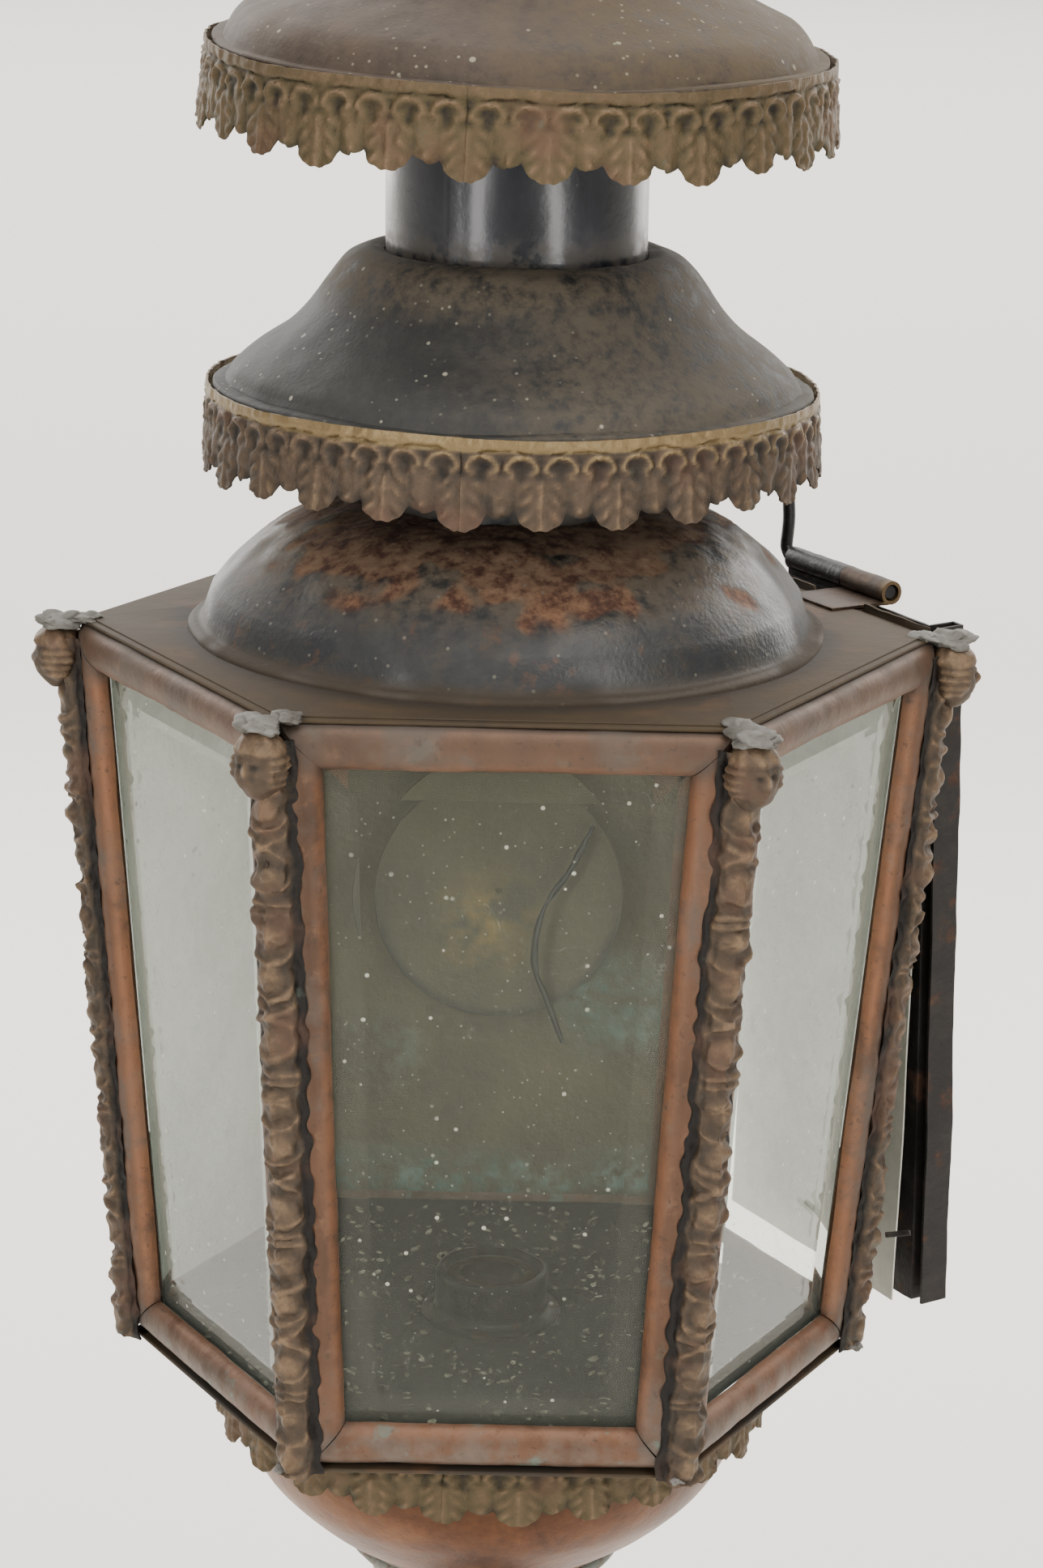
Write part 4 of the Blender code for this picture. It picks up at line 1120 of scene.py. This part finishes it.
# ---- Bowl, bead and stem under the body.
# Spun copper, brighter and more orange than the frames, with green and white deposits where rain has run
# along the bead, and painted shade at its top under the base gallery.
def bowl_finish():
    finish = Finish("orange_bowl_copper")
    broad = finish.noise(0.024, 4, 0.6, warp=0.6)
    fine = finish.noise(0.0030, 5, 0.65)
    height = finish.axis("Z")
    tone = finish.ramp(broad * 0.65 + fine * 0.35, (0.32, (0.045, 0.020, 0.012)),
                       (0.48, (0.106, 0.044, 0.020)), (0.62, (0.167, 0.074, 0.032)),
                       (0.76, (0.126, 0.083, 0.045)))
    # Painted shade: the top of the bowl, under the base gallery, is darkened.
    shade = finish.step(height, ROOF - 0.262, ROOF - 0.240)
    tone = finish.mix(shade * 0.6, tone, (0.027, 0.017, 0.011))
    bead = finish.step(abs(height - (ROOF - 0.2925)), 0.009, 0.002)
    salts = finish.step(fine * 0.8 + broad * 0.3 + bead * 0.25, 0.66, 0.86)
    tone = finish.mix(salts * 0.8, tone, finish.ramp(broad, (0.40, (0.090, 0.140, 0.126)),
                                                     (0.60, (0.207, 0.225, 0.203))))
    roughness = 0.30 + fine * 0.2 + salts * 0.35
    return finish.done(finish.shader(tone, roughness, 0.85 - salts * 0.75, finish.bump(fine, 0.0003)))


bowl_copper = bowl_finish()
bowl = spun("spun_bowl", soft_line([(0.0800, -0.2282), (0.0796, -0.2400), (0.0765, -0.2535),
                                    (0.0718, -0.2635), (0.0655, -0.2712), (0.0555, -0.2806),
                                    (0.0470, -0.2862), (0.0433, -0.2896)], 7))
wear(bowl, 0.0008, 0.030, 11)
settle(walled(bowl), bowl_copper, "lamp", "bowl_copper", "bowl")
clear_bench()
bpy.ops.mesh.primitive_torus_add(major_radius=0.0410, minor_radius=0.0021, major_segments=140,
                                 minor_segments=16, location=(0, 0, ROOF - 0.2923))
bead = current("copper_bead")
bpy.ops.object.transform_apply(location=True)
wear(bead, 0.0003, 0.006, 12)
smooth(bead, 60)
settle(bead, bowl_copper, "lamp", "bowl_copper", "bead_ring")
stem = spun("spun_stem", soft_line([(0.0400, -0.2942), (0.0385, -0.2960), (0.0346, -0.3063),
                                    (0.0300, -0.3200), (0.0260, -0.3350), (0.0222, -0.3480),
                                    (0.0205, -0.3570), (0.0196, -0.3620), (0.0196, -0.3652)], 6))
wear(stem, 0.0005, 0.020, 13)
settle(walled(stem), bowl_copper, "lamp", "bowl_copper", "stem")


# ---- Walls, reflectors and the bent wire inside.
# The back is closed with thin copper sheet, olive-brown inside, with a scorch and some verdigris. Tin
# reflectors, gone pale and spotted, back the left wall and the door; a dished one hangs on the rear wall.
SHEET = 0.0008
REFLECTOR_DEPTH = PANE_DEPTH + SHEET + 0.0003


def face_sheet(name, angle, depth, thickness, inset, ripple, seed):
    """A slightly rippled sheet behind a frame, at a depth below the face."""
    clear_bench()
    bpy.ops.mesh.primitive_grid_add(x_subdivisions=30, y_subdivisions=60, size=2)
    sheet = current(name)
    corners = face_corners(FRAME_TOP - MOULDING + 0.003 - inset, BODY_BOTTOM + MOULDING - 0.003 + inset,
                           SEAM + STILE - 0.003 + inset)
    spots = points_of(sheet)
    rise = (spots[:, 1] + 1) / 2
    half = corners[1].x + (corners[2].x - corners[1].x) * rise
    y = corners[0].y + (corners[3].y - corners[0].y) * rise
    z = [ripple * noise.noise(Vector((a * 2, b * 3, seed))) for a, b, _ in spots]
    move_points(sheet, np.stack([spots[:, 0] * half, y, np.array(z) - depth], 1))
    thickened(sheet, thickness)
    sheet.data.transform(face_placement(angle))
    smooth(sheet, 40)
    return sheet


def wall_finish():
    finish = Finish("olive_wall_copper")
    broad = finish.noise(0.030, 4, 0.6, warp=0.8)
    fine = finish.noise(0.0030, 5, 0.66)
    tone = finish.ramp(broad * 0.6 + fine * 0.4, (0.34, (0.034, 0.027, 0.014)),
                       (0.52, (0.056, 0.044, 0.022)), (0.70, (0.078, 0.061, 0.030)))
    wall_y = BODY_RADIUS * 0.8
    scorch = finish.near((-0.004, wall_y, ROOF - 0.124), 0.001, 0.016)
    scorch = scorch * finish.step(broad + fine * 0.4, 0.45, 0.85)
    tone = finish.mix(scorch * 0.9, tone, (0.250, 0.150, 0.024))
    height = finish.axis("Z")
    low = finish.step(height, ROOF - 0.196, ROOF - 0.208) * 0.8
    right = finish.near((0.036, wall_y, ROOF - 0.150), 0.006, 0.026)
    speck = finish.near((0.034, wall_y, ROOF - 0.122), 0.001, 0.007)
    left = finish.near((-0.036, wall_y, ROOF - 0.168), 0.004, 0.020)
    salts = low.over(right.over(speck)).over(left * 0.7) * finish.step(broad * 0.6 + fine * 0.4, 0.42, 0.58)
    teal = finish.ramp(finish.noise(0.012, 3, shift=(0.3, 0.1, 0.5)), (0.40, (0.034, 0.082, 0.070)),
                       (0.60, (0.120, 0.190, 0.170)))
    tone = finish.mix(salts * 0.9, tone, teal)
    return finish.done(finish.shader(tone, 0.55 + fine * 0.2, 0.20, finish.bump(fine, 0.0003)))


def tin_finish():
    finish = Finish("tarnished_tin")
    broad = finish.noise(0.040, 4, 0.6, warp=0.6)
    fine = finish.noise(0.0030, 4, 0.66)
    tone = finish.ramp(broad * 0.7 + fine * 0.3, (0.34, (0.42, 0.42, 0.36)), (0.52, (0.56, 0.56, 0.49)),
                       (0.70, (0.66, 0.66, 0.58)))
    spots = finish.specks(0.0070, 0.13, 0.07, (0.1, 0.4, 0.2))
    spots = spots * finish.step(finish.axis("Z") + broad * 0.08, ROOF - 0.080, ROOF - 0.010)
    darkening = finish.patches(0.58, 0.74, 0.014, 5, 0.7, shift=(0.6, 0.2, 0.9))
    low = finish.step(finish.axis("Z") + fine * 0.01, ROOF - 0.160, ROOF - 0.205)
    tone = finish.mix(darkening * 0.35 + low * 0.2, tone, (0.16, 0.16, 0.13))
    tone = finish.mix(spots * 0.8, tone, (0.045, 0.04, 0.032))
    return finish.done(finish.shader(tone, 0.42 + darkening * 0.25, 0.35, finish.bump(fine, 0.0002)))


wall_copper = wall_finish()
tarnished_tin = tin_finish()
for name, node in (("rear", "rear_wall"), ("rear_left", "rear_left_wall")):
    wall = face_sheet(name + "_sheet_wall", FACES[name], PANE_DEPTH, SHEET, 0.0, 0.0009, FACES[name])
    settle(wall, wall_copper, "lamp", "patinated_copper", node)
side_tin = face_sheet("rear_left_tin", FACES["rear_left"], REFLECTOR_DEPTH + 0.0006, 0.0005, 0.001,
                      0.0006, 4)
settle(side_tin, tarnished_tin, "lamp", "tinned_reflector", "rear_left_reflector")

DISH_RADIUS = 0.0405
DISH_DEPTH = 0.008
DISH_HEIGHT = -0.113


def dish_finish():
    finish = Finish("sooted_dish_tin")
    fine = finish.noise(0.0030, 5, 0.66)
    broad = finish.noise(0.020, 4, 0.6)
    tone = finish.ramp(broad * 0.6 + fine * 0.4, (0.34, (0.030, 0.024, 0.012)),
                       (0.54, (0.048, 0.038, 0.018)), (0.72, (0.066, 0.052, 0.025)))
    scorch = finish.near((-0.004, BODY_RADIUS * 0.8, ROOF - 0.124), 0.001, 0.026)
    scorch = scorch * finish.step(fine + broad, 0.8, 1.2)
    tone = finish.mix(scorch * 0.9, tone, (0.193, 0.116, 0.019))
    # Painted shade: the lower part of the dish's rim is painted near black.
    rim = finish.trait("rim") * finish.step(finish.axis("Z"), ROOF - 0.104, ROOF - 0.128)
    tone = finish.mix(rim * 0.85, tone, (0.006, 0.006, 0.004))
    return finish.done(finish.shader(tone, 0.50 + fine * 0.2, 0.20, finish.bump(fine, 0.0002)))


steps = 24
dish_line = []
for i in range(steps + 1):
    reach = 0.0012 + (DISH_RADIUS - 0.0012) * i / steps
    dish_line.append((reach, -DISH_DEPTH * (reach / DISH_RADIUS) ** 2))
dish = spun("round_dish", dish_line, 96, 0.0006)
dish.data.transform(Matrix.Translation((0, 0, -ROOF)))
spots = points_of(dish)
set_trait(dish, "rim", np.clip((np.hypot(spots[:, 0], spots[:, 1]) - DISH_RADIUS + 0.0022) / 0.0010, 0, 1))
wear(dish, 0.0005, 0.014, 21)
walled(dish)
dish_floor = -REFLECTOR_DEPTH - SHEET
dish.data.transform(face_placement(FACES["rear"]) @ Matrix.Translation((0, DISH_HEIGHT, dish_floor)))
settle(dish, dish_finish(), "lamp", "tinned_reflector", "round_reflector")


def wire(name, points, radius, turns=10):
    """A wire through a few points, faired, with closed round ends."""
    line = soft_line(points, turns)
    curve = bpy.data.curves.new(name, "CURVE")
    curve.dimensions = "3D"
    curve.bevel_depth = radius
    curve.bevel_resolution = 4
    curve.use_fill_caps = True
    spline = curve.splines.new("POLY")
    spline.points.add(len(line) - 1)
    for point, spot in zip(spline.points, line):
        point.co = (*spot, 1)
    piece = bpy.data.objects.new(name, curve)
    bpy.context.scene.collection.objects.link(piece)
    picked(piece)
    bpy.ops.object.convert(target="MESH")
    edit()
    bpy.ops.mesh.remove_doubles(threshold=0.00001)
    stop_edit()
    return bpy.context.object


def dark_iron_finish(name, rust):
    """Oily black iron with some rust, for wire, pin, straps and knuckle."""
    finish = Finish(name)
    fine = finish.noise(0.0020, 4, 0.66)
    broad = finish.noise(0.010, 4, 0.6)
    tone = finish.ramp(broad * 0.5 + fine * 0.5, (0.36, (0.008, 0.008, 0.008)),
                       (0.54, (0.017, 0.017, 0.017)), (0.72, (0.036, 0.034, 0.032)))
    rusty = finish.patches(0.66 - rust, 0.78 - rust, 0.0045, 4, 0.66, shift=(0.4, 0.2, 0.6))
    tone = finish.mix(rusty * 0.8, tone, (0.057, 0.023, 0.010))
    return finish.done(finish.shader(tone, 0.42 + rusty * 0.35, 0.4 - rusty * 0.3,
                                     finish.bump(fine, 0.0003)))


black_wire = dark_iron_finish("black_wire_iron", 0.0)
wire_route = [(0.030, -0.088), (0.023, -0.103), (0.0145, -0.117), (0.012, -0.134), (0.0165, -0.147),
              (0.022, -0.161)]
bent_wire = wire("bent_wire", [(-x, y, dish_floor - DISH_DEPTH - 0.003) for x, y in wire_route], 0.0009)
wear(bent_wire, 0.0010, 0.010, 3)
bent_wire.data.transform(face_placement(FACES["rear"]))
smooth(bent_wire, 60)
settle(bent_wire, black_wire, "lamp", "black_iron", "reflector_wire")


# ---- Floor, its litter and the candle nozzle.
# A sooty iron floor under years of dust, flakes, dead insects and wick ends, with the nozzle in its middle.
FLOOR_TOP = ROOF - 0.2186


def floor_litter_finish():
    finish = Finish("littered_floor_iron")
    broad = finish.noise(0.024, 4, 0.65)
    fine = finish.noise(0.0020, 6, 0.75)
    tone = finish.ramp(fine * 0.7 + broad * 0.3, (0.36, (0.004, 0.004, 0.003)),
                       (0.52, (0.011, 0.010, 0.008)), (0.64, (0.030, 0.028, 0.021)),
                       (0.78, (0.085, 0.078, 0.058)))
    return finish.done(finish.shader(tone, 0.85, 0.0, finish.bump(fine, 0.0010)))


def litter_finish():
    finish = Finish("dust_and_flakes")
    fine = finish.noise(0.0030, 3, 0.6)
    tone = finish.ramp(fine, (0.34, (0.012, 0.010, 0.007)), (0.46, (0.050, 0.044, 0.032)),
                       (0.58, (0.130, 0.118, 0.088)), (0.70, (0.260, 0.240, 0.190)))
    return finish.done(finish.shader(tone, 0.9, 0.0, finish.bump(finish.noise(0.0006, 2), 0.0002)))


plate = hexagon_sheet("iron_floor", 0.1062, 0.0152, FLOOR_TOP, 0.0010)
settle(plate, floor_litter_finish(), "lamp", "floor_iron", "floor_plate")

chance = random.Random(7)
flakes = []
for i in range(760):
    reach, heading = 0.088 * math.sqrt(chance.uniform(0.06, 1)), chance.uniform(0, 2 * math.pi)
    clear_bench()
    bpy.ops.mesh.primitive_ico_sphere_add(subdivisions=1, radius=1)
    flake = current("flake")
    long = chance.uniform(0.0004, 0.0019)
    shape = Matrix.Diagonal((long, long * chance.uniform(0.2, 0.8), long * chance.uniform(0.15, 0.45), 1))
    tilt = Matrix.Rotation(chance.uniform(-0.5, 0.5), 4, "X")
    tilt = tilt @ Matrix.Rotation(chance.uniform(-0.4, 0.4), 4, "Y")
    spot = (reach * math.cos(heading), reach * math.sin(heading),
            FLOOR_TOP + chance.uniform(0.0002, 0.0012))
    turned = Matrix.Rotation(chance.uniform(0, 6.28), 4, "Z")
    flake.data.transform(Matrix.Translation(spot) @ turned @ tilt @ shape)
    flakes.append(flake)
litter = joined("floor_litter", flakes)
settle(litter, litter_finish(), "lamp", "floor_iron")

sooty_iron = dark_iron_finish("sooty_nozzle_iron", 0.08)
CANDLE_HOLE = 0.0152
nozzle_line = [(CANDLE_HOLE, -0.2035), (0.0160, -0.2032), (0.0169, -0.2036), (0.0173, -0.2046)]
nozzle_line += [(0.0172, -0.2046 - 0.0013 * i) for i in range(1, 9)]
nozzle_line += [(0.0180, -0.2162), (0.0198, -0.2168), (0.0215, -0.2172), (0.0215, -0.2183),
                (CANDLE_HOLE, -0.2183), (CANDLE_HOLE, -0.2035)]
nozzle = spun("candle_socket", nozzle_line, 96, 0, True)
wear(nozzle, 0.0004, 0.008, 31)
smooth(nozzle, 40)
settle(nozzle, sooty_iron, "lamp", "floor_iron", "candle_nozzle")


# ---- Rear right door.
# Sheet iron, black going to brown rust, its sides folded into channels and a tin reflector held inside.
# It hangs on a pull pin along the roof's edge, and has dropped a little outwards.
hinge = next(joint for joint in frame["joints"] if joint["name"] == "door_hinge")
edge_line = Vector(hinge["axis"]).normalized()
outward = Vector((0, 0, 1)).cross(edge_line)
hinge_turn = Matrix((outward, (0, 0, 1), edge_line)).transposed().to_4x4()
hinge_place = Matrix.Translation(hinge["pos_m"]) @ hinge_turn
DOOR_HANG = math.radians(2.0)
door_place = hinge_place @ Matrix.Rotation(DOOR_HANG, 4, "Z")
DOOR_TOP, DOOR_BOTTOM = -0.0045, -0.2245
FOLD_IN, FOLD_OUT = 0.0485, 0.0535
FOLD_BACK, FOLD_FRONT = -0.0030, 0.0060


def door_finish():
    finish = Finish("rusted_door_iron")
    broad = finish.noise(0.028, 5, 0.62, warp=0.7)
    fine = finish.noise(0.0028, 5, 0.70)
    tone = finish.ramp(broad * 0.5 + fine * 0.5, (0.36, (0.005, 0.004, 0.004)),
                       (0.52, (0.010, 0.008, 0.007)), (0.68, (0.020, 0.015, 0.011)))
    rust = finish.patches(0.54, 0.66, 0.010, 5, 0.70, shift=(0.2, 0.6, 0.3))
    rust_tone = finish.ramp(fine, (0.38, (0.025, 0.011, 0.006)), (0.55, (0.059, 0.023, 0.010)),
                            (0.70, (0.097, 0.042, 0.017)))
    tone = finish.mix(rust * 0.85, tone, rust_tone)
    scrape = finish.patches(0.66, 0.74, 0.0050, 4, 0.65, stretch=(1, 1, 0.25), shift=(0.7, 0.1, 0.9))
    tone = finish.mix(scrape * 0.5, tone, (0.067, 0.059, 0.050))
    return finish.done(finish.shader(tone, 0.62 + rust * 0.28, 0.3 - rust * 0.25,
                                     finish.bump(fine, 0.0005)))


clear_bench()
bpy.ops.mesh.primitive_grid_add(x_subdivisions=36, y_subdivisions=90, size=2)
door = current("iron_door")
spots = points_of(door)
move_points(door, np.stack([np.full(len(spots), FOLD_BACK),
                            DOOR_BOTTOM + (spots[:, 1] + 1) / 2 * (DOOR_TOP - DOOR_BOTTOM),
                            spots[:, 0] * FOLD_IN], 1))
for side in (-1, 1):
    edit("DESELECT")
    bpy.ops.mesh.select_mode(type="EDGE")
    stop_edit()
    for vertex in door.data.vertices:
        vertex.select = False
    for line in door.data.edges:
        line.select = all(abs(door.data.vertices[i].co.z - side * FOLD_IN) < 1e-5 for i in line.vertices)
    bpy.ops.object.mode_set(mode="EDIT")
    for step in ((FOLD_FRONT - FOLD_BACK, 0, 0), (0, 0, side * (FOLD_OUT - FOLD_IN)),
                 (FOLD_BACK - FOLD_FRONT, 0, 0)):
        parts = 4 if step[0] else 2
        for _ in range(parts):
            move = tuple(value / parts for value in step)
            bpy.ops.mesh.extrude_region_move(TRANSFORM_OT_translate={"value": move})
    stop_edit()
edit()
bpy.ops.mesh.select_mode(type="VERT")
bpy.ops.mesh.select_all(action="SELECT")
bpy.ops.mesh.normals_make_consistent(inside=False)
stop_edit()
wear(door, 0.0009, 0.040, 41)
wear(door, 0.0003, 0.008, 42)
thickened(door, 0.0010, 0)
door.data.transform(door_place)
smooth(door, 40)
door_iron = door_finish()
settle(door, door_iron, "door", "black_iron", "door_panel")

clear_bench()
bpy.ops.mesh.primitive_grid_add(x_subdivisions=24, y_subdivisions=50, size=2)
door_tin = current("door_tin")
spots = points_of(door_tin)
rise = (spots[:, 1] + 1) / 2
ripple = np.array([0.0005 * noise.noise(Vector((a * 2, b * 3, 9))) for a, b, _ in spots])
move_points(door_tin, np.stack([FOLD_BACK - 0.0016 - 0.0055 * (1 - rise) ** 2 + ripple,
                                DOOR_BOTTOM + 0.0006 + rise * 0.2044, spots[:, 0] * 0.0474], 1))
thickened(door_tin, 0.0005)
door_tin.data.transform(door_place)
smooth(door_tin, 40)
settle(door_tin, tarnished_tin, "door", "tinned_reflector", "door_reflector")


# ---- Hinge knuckles and pull pin.
# Each knuckle is a strip of sheet rolled round the pin, its tail a leaf soldered down. The L-shaped pin is
# stiff wire that pulls out towards the back and frees the door.
BARREL_RADIUS = 0.00365
PIN_RADIUS = 0.0021


def knuckle(name, low, high, placement, leaf_spot, leaf_size):
    """Rolled barrel between two places along the hinge line, with its leaf."""
    clear_bench()
    bpy.ops.mesh.primitive_cylinder_add(vertices=48, radius=BARREL_RADIUS, depth=high - low,
                                        location=(0, 0, (low + high) / 2), end_fill_type="NOTHING")
    barrel = current("barrel")
    bpy.ops.object.transform_apply(location=True)
    edit()
    bpy.ops.mesh.subdivide(number_cuts=8)
    stop_edit()
    wear(barrel, 0.0002, 0.004, low * 100)
    thickened(barrel, 0.0011)
    clear_bench()
    bpy.ops.mesh.primitive_cube_add(size=1, location=leaf_spot, scale=leaf_size)
    leaf = current("leaf")
    bpy.ops.object.transform_apply(location=True, scale=True)
    edit()
    bpy.ops.mesh.subdivide(number_cuts=6)
    stop_edit()
    rounded(leaf, 0.0003, 2)
    wear(leaf, 0.0002, 0.006, high * 70)
    rolled = joined(name, [barrel, leaf])
    rolled.data.transform(placement)
    smooth(rolled, 35)
    return rolled


def knuckle_finish():
    """Brown copper barrel, bright brass where its end has been rubbed."""
    finish = Finish("rubbed_knuckle_copper")
    fine = finish.noise(0.0020, 4, 0.66)
    broad = finish.noise(0.008, 3)
    tone = finish.ramp(broad * 0.5 + fine * 0.5, (0.36, (0.026, 0.018, 0.013)),
                       (0.54, (0.058, 0.036, 0.023)), (0.72, (0.096, 0.060, 0.036)))
    end = finish.near(hinge_place @ Vector((0, 0, 0.0252)), 0.0030, 0.0052)
    tone = finish.mix(end * 0.6, tone, (0.163, 0.106, 0.048))
    return finish.done(finish.shader(tone, 0.42 + fine * 0.15, 0.7, finish.bump(fine, 0.0002)))


upper_knuckle = knuckle("door_rolled_knuckle", -0.028, 0.0018, door_place, (-0.0017, -0.0130, -0.0131),
                        (0.0010, 0.0260, 0.0298))
settle(upper_knuckle, dark_iron_finish("knuckle_iron", 0.05), "door", "black_iron", "door_knuckle")
roof_knuckle = knuckle("frame_rolled_knuckle", 0.0021, 0.0250, hinge_place, (-0.0115, -0.00315, 0.01355),
                       (0.0210, 0.0010, 0.0229))
settle(roof_knuckle, knuckle_finish(), "lamp", "patinated_copper", "frame_knuckle")

PIN_BEND, PIN_BACK, PIN_RISE = 0.004, -0.0325, 0.034
pin_line = [(0, 0, 0.0242), (0, 0, 0.010), (0, 0, -0.010), (0, 0, PIN_BACK + PIN_BEND + 0.002)]
for i in range(1, 5):
    angle = math.radians(22.5 * i)
    pin_line.append((0, PIN_BEND * (1 - math.cos(angle)), PIN_BACK + PIN_BEND * (1 - math.sin(angle))))
pin_line += [(0.0003, 0.012, PIN_BACK + 0.0003), (-0.0002, 0.022, PIN_BACK), (0, PIN_RISE, PIN_BACK)]
pin = wire("pull_pin", pin_line, PIN_RADIUS - 0.0001, 6)
pin.data.transform(hinge_place)
smooth(pin, 60)
settle(pin, black_wire, "hinge_pin", "black_iron", "hinge_pin")


# ---- Raised lip on the rear right roof edge, and the wire catch.
# A strip of the roof sheet turned up to seal the top of the door, dented, slotted and torn at its right end.
clear_bench()
bpy.ops.mesh.primitive_grid_add(x_subdivisions=120, y_subdivisions=6, size=2)
lip = current("turned_up_lip")
spots = points_of(lip)
run = spots[:, 0] * 0.0600
rise = (spots[:, 1] + 1) / 2
ragged = np.array([0.5 + 0.5 * noise.noise(Vector((r * 160, 2.2, 0))) for r in run])
notch = ((run > 0.0004) & (run < 0.0268)).astype(float)
tall = 0.0037 * (1 - 0.70 * notch) * (0.72 + 0.28 * ragged)
out = 0.0007 * np.array([noise.noise(Vector((r * 60, 0.5, h))) for r, h in zip(run, rise)]) * rise
LIP_OUT = ROOF_RADIUS * math.cos(math.radians(30)) + 0.0007 - math.hypot(*hinge["pos_m"][:2])
LIP_LOW = ROOF - 0.0011 - hinge["pos_m"][2]
move_points(lip, np.stack([LIP_OUT + out, LIP_LOW + rise * tall, run], 1))
thickened(lip, 0.0007, 0)
lip.data.transform(hinge_place)
smooth(lip, 40)
settle(lip, roof_copper, "lamp", "patinated_copper", "roof_lip")

low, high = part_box("door_catch")
catch = wire("wire_catch", [(low.x, (low.y + high.y) / 2, low.z + 0.0009),
                            (low.x + 0.004, high.y - 0.0015, low.z + 0.0012),
                            (high.x - 0.0006, low.y + 0.0012, high.z - 0.0009)], 0.0009)
settle(catch, strip_brass, "lamp", "stamped_brass", "door_catch")


# ---- Straps and finial of the upper cap.
# Three riveted iron straps hold the cap clear of the chimney's mouth. A small turned finial screws in on
# top of it.
for i in range(3):
    node = f"cap_strap_{i + 1}"
    heading = math.radians(90 + 120 * i)
    clear_bench()
    bpy.ops.mesh.primitive_cube_add(size=1, location=(TUBE_RADIUS + 0.0225, 0, ROOF + 0.1706),
                                    scale=(0.044, 0.008, 0.0012))
    strap = current("strap")
    bpy.ops.object.transform_apply(location=True, scale=True)
    rounded(strap, 0.0004, 2)
    rivets = [lump((TUBE_RADIUS + reach, 0, ROOF + 0.1710), (0.0020, 0.0020, 0.0010), reach * 900)
              for reach in (0.006, 0.039)]
    strap = joined(f"riveted_strap_{i + 1}", [strap] + rivets)
    wear(strap, 0.0003, 0.010, i)
    strap.data.transform(Matrix.Rotation(heading, 4, "Z"))
    smooth(strap, 40)
    settle(strap, sooty_iron, "lamp", "black_iron", node)

finial = spun("turned_finial", soft_line([(0.0, 0.2400), (0.0030, 0.2394), (0.0050, 0.2372),
                                          (0.0062, 0.2335), (0.0050, 0.2300), (0.0036, 0.2280),
                                          (0.0030, 0.2262), (0.0036, 0.2248), (0.0055, 0.2236),
                                          (0.0085, 0.2205), (0.0090, 0.2180), (0.0026, 0.2172),
                                          (0.0026, 0.2100), (0.0, 0.2100)], 4), 64, 0, True)
finial.data.transform(lean)
smooth(finial, 40)
settle(finial, dark_brass, "lamp", "patinated_copper", "top_finial")


# ---- Collar and tail tube that stand in the carriage bracket.
# Turned and drawn copper, worn bright below the collar by the socket.
collar = spun("turned_collar", [(0.0178, -0.3655), (0.0236, -0.3655), (0.0247, -0.3658), (0.0256, -0.3666),
                                (0.0260, -0.3677), (0.0260, -0.3700), (0.0260, -0.3715), (0.0258, -0.3720),
                                (0.0178, -0.3720), (0.0178, -0.3655)], 120, 0, True)
smooth(collar, 30)
settle(collar, bowl_copper, "lamp", "bowl_copper", "tail_collar")
tail = spun("drawn_tail_tube", [(0.0175, -0.3565), (0.0175, -0.3720)]
            + [(0.0175 - 0.0009 * i / 20, -0.372 - 0.158 * i / 20) for i in range(1, 21)], 96, 0.0008)
wear(tail, 0.0003, 0.020, 51)
settle(walled(tail, 30), bowl_copper, "lamp", "bowl_copper", "tail_tube")


# ---- Candle tube, follower, spring and end cap.
# A spring pushes the candle up through the nozzle as it burns. The tube with its cap pulls out below.
candle_line = [(0.0100, -0.2050), (0.0128, -0.2050), (0.0138, -0.2053), (0.0145, -0.2062)]
candle_line += [(0.0145, -0.2062 - 0.0162 * i) for i in range(1, 20)] + [(0.0145, -0.5300)]
candle = spun("sliding_candle_tube", candle_line, 80, 0.0008)
settle(walled(candle, 30), bowl_copper, "candle_tube", "bowl_copper", "candle_tube")
cap_line = [(0.0, -0.5190), (0.0120, -0.5190), (0.0131, -0.5200), (0.0131, -0.5303), (0.0185, -0.5303)]
cap_line += soft_line([(0.0190, -0.5306), (0.0195, -0.5316), (0.0195, -0.5362), (0.0188, -0.5376),
                       (0.0165, -0.5392), (0.0115, -0.5406), (0.0080, -0.5418), (0.0056, -0.5442),
                       (0.0068, -0.5460), (0.0082, -0.5478), (0.0088, -0.5512), (0.0082, -0.5536),
                       (0.0064, -0.5556), (0.0035, -0.5569), (0.0, -0.5573)], 4)
cap = spun("turned_end_cap", cap_line, 96, 0, True)
smooth(cap, 35)
settle(cap, bowl_copper, "candle_tube", "bowl_copper", "tail_cap")
follower = spun("spring_follower", [(0.0, -0.2061), (0.0110, -0.2061), (0.0124, -0.2063), (0.0131, -0.2072),
                                    (0.0131, -0.2120), (0.0131, -0.2181), (0.0122, -0.2181),
                                    (0.0122, -0.2076), (0.0, -0.2076)], 64, 0, True)
smooth(follower, 35)
settle(follower, dark_brass, "follower", "stamped_brass", "candle_follower")
spring = frame["nodes"]["candle_spring"]
spring.data.materials.clear()
spring.data.materials.append(black_wire)
